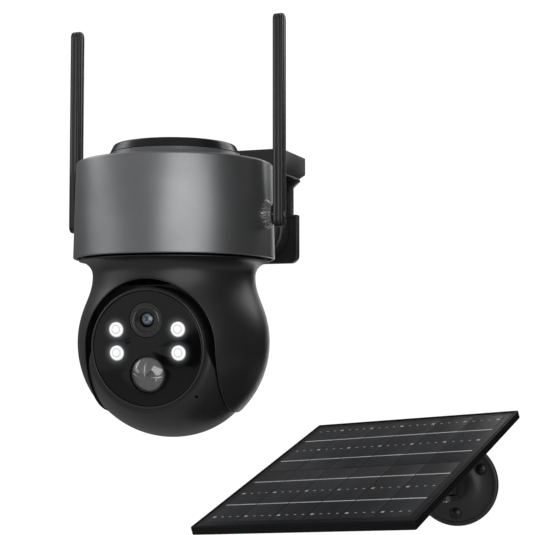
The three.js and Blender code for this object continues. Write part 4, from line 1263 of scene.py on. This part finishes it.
ROOM_GLOSS = 0.44  # brightness of the room in reflections
ROOM_LIGHT = 0.65  # brightness of the room as soft light
BACKDROP = 1.05  # brightness of the room behind the object
FLAG_BEARING = -20  # middle of the dark flag in front of the window, in degrees
FLAG_DROP = math.radians(35)
FLAG_EDGE = 0.9264  # the flag's size, as half of one plus the cosine of its half angle


def studio_world():
    """White behind the object, soft white light, and a grey room with a dark flag in reflections."""
    world = bpy.data.worlds.new("studio")
    nodes = Nodes(world, "Generated")

    def facing(direction):
        dot = nodes.add("ShaderNodeVectorMath", operation="DOT_PRODUCT")
        nodes.link(nodes.place, dot.inputs[0])
        dot.inputs[1].default_value = direction
        halved = nodes.math("MULTIPLY", dot.outputs["Value"], 0.5)
        return nodes.math("ADD", halved, 0.5)

    def background(strength, colour=None):
        node = nodes.add("ShaderNodeBackground", {"Color": (1, 1, 1, 1), "Strength": strength})
        if colour:
            nodes.link(colour, node.inputs["Color"])
        return node.outputs[0]

    def both(first, second):
        node = nodes.add("ShaderNodeMix", {"Factor": 1.0}, data_type="RGBA", blend_type="MULTIPLY")
        nodes.link(first, node.inputs[6])
        nodes.link(second, node.inputs[7])
        return node.outputs[2]

    def choose(share, first, second):
        node = nodes.add("ShaderNodeMixShader")
        nodes.link(share, node.inputs["Fac"])
        nodes.link(first, node.inputs[1])
        nodes.link(second, node.inputs[2])
        return node.outputs[0]

    beside = nodes.ramp(facing(heading(105)), [(0.0, 1.0), (0.62, 0.95), (0.84, 0.08), (1.0, 0.05)], True)
    below_left = heading(FLAG_BEARING) * math.cos(FLAG_DROP) - Vector((0, 0, math.sin(FLAG_DROP)))
    flag = [(0.0, 1.0), (FLAG_EDGE, 1.0), (FLAG_EDGE + 0.004, 0.03), (1.0, 0.03)]
    ahead = nodes.ramp(facing(below_left), flag)
    behind = nodes.ramp(facing(heading(180)), [(0.0, 1.0), (0.5, 0.9), (0.8, 0.4), (1.0, 0.3)], True)
    flagged = both(both(beside, behind), ahead)
    room = background(ROOM_GLOSS, flagged)
    path = nodes.add("ShaderNodeLightPath")
    lit = choose(path.outputs["Is Diffuse Ray"], room, background(ROOM_LIGHT))
    seen = choose(path.outputs["Is Camera Ray"], lit, background(BACKDROP))
    nodes.link(seen, nodes.tree.nodes["World Output"].inputs["Surface"])
    scene.world = world


studio_world()
studio_floor()
# Name, bearing in degrees, height and distance from the head, width, height of the light, and power.
soft_box("key_front", 12, 0.15, 1.3, 1.15, 1.1, 7.0)
soft_box("fill_left", -86, 0.1, 1.2, 0.5, 1.1, 1.3)
soft_box("high_left", -110, 0.5, 0.9, 0.4, 0.5, 1.0)
soft_box("high_right", 122, 0.5, 0.9, 0.5, 0.6, 1.7)
soft_box("high_back_left", -134, 0.8, 0.8, 0.6, 0.7, 1.8)
soft_box("high_back_right", 140, 0.8, 0.8, 0.4, 0.7, 1.2)
soft_box("rim_right", 156, -0.1, 1.1, 0.16, 0.9, 0.9)
scene.view_settings.view_transform = "Standard"
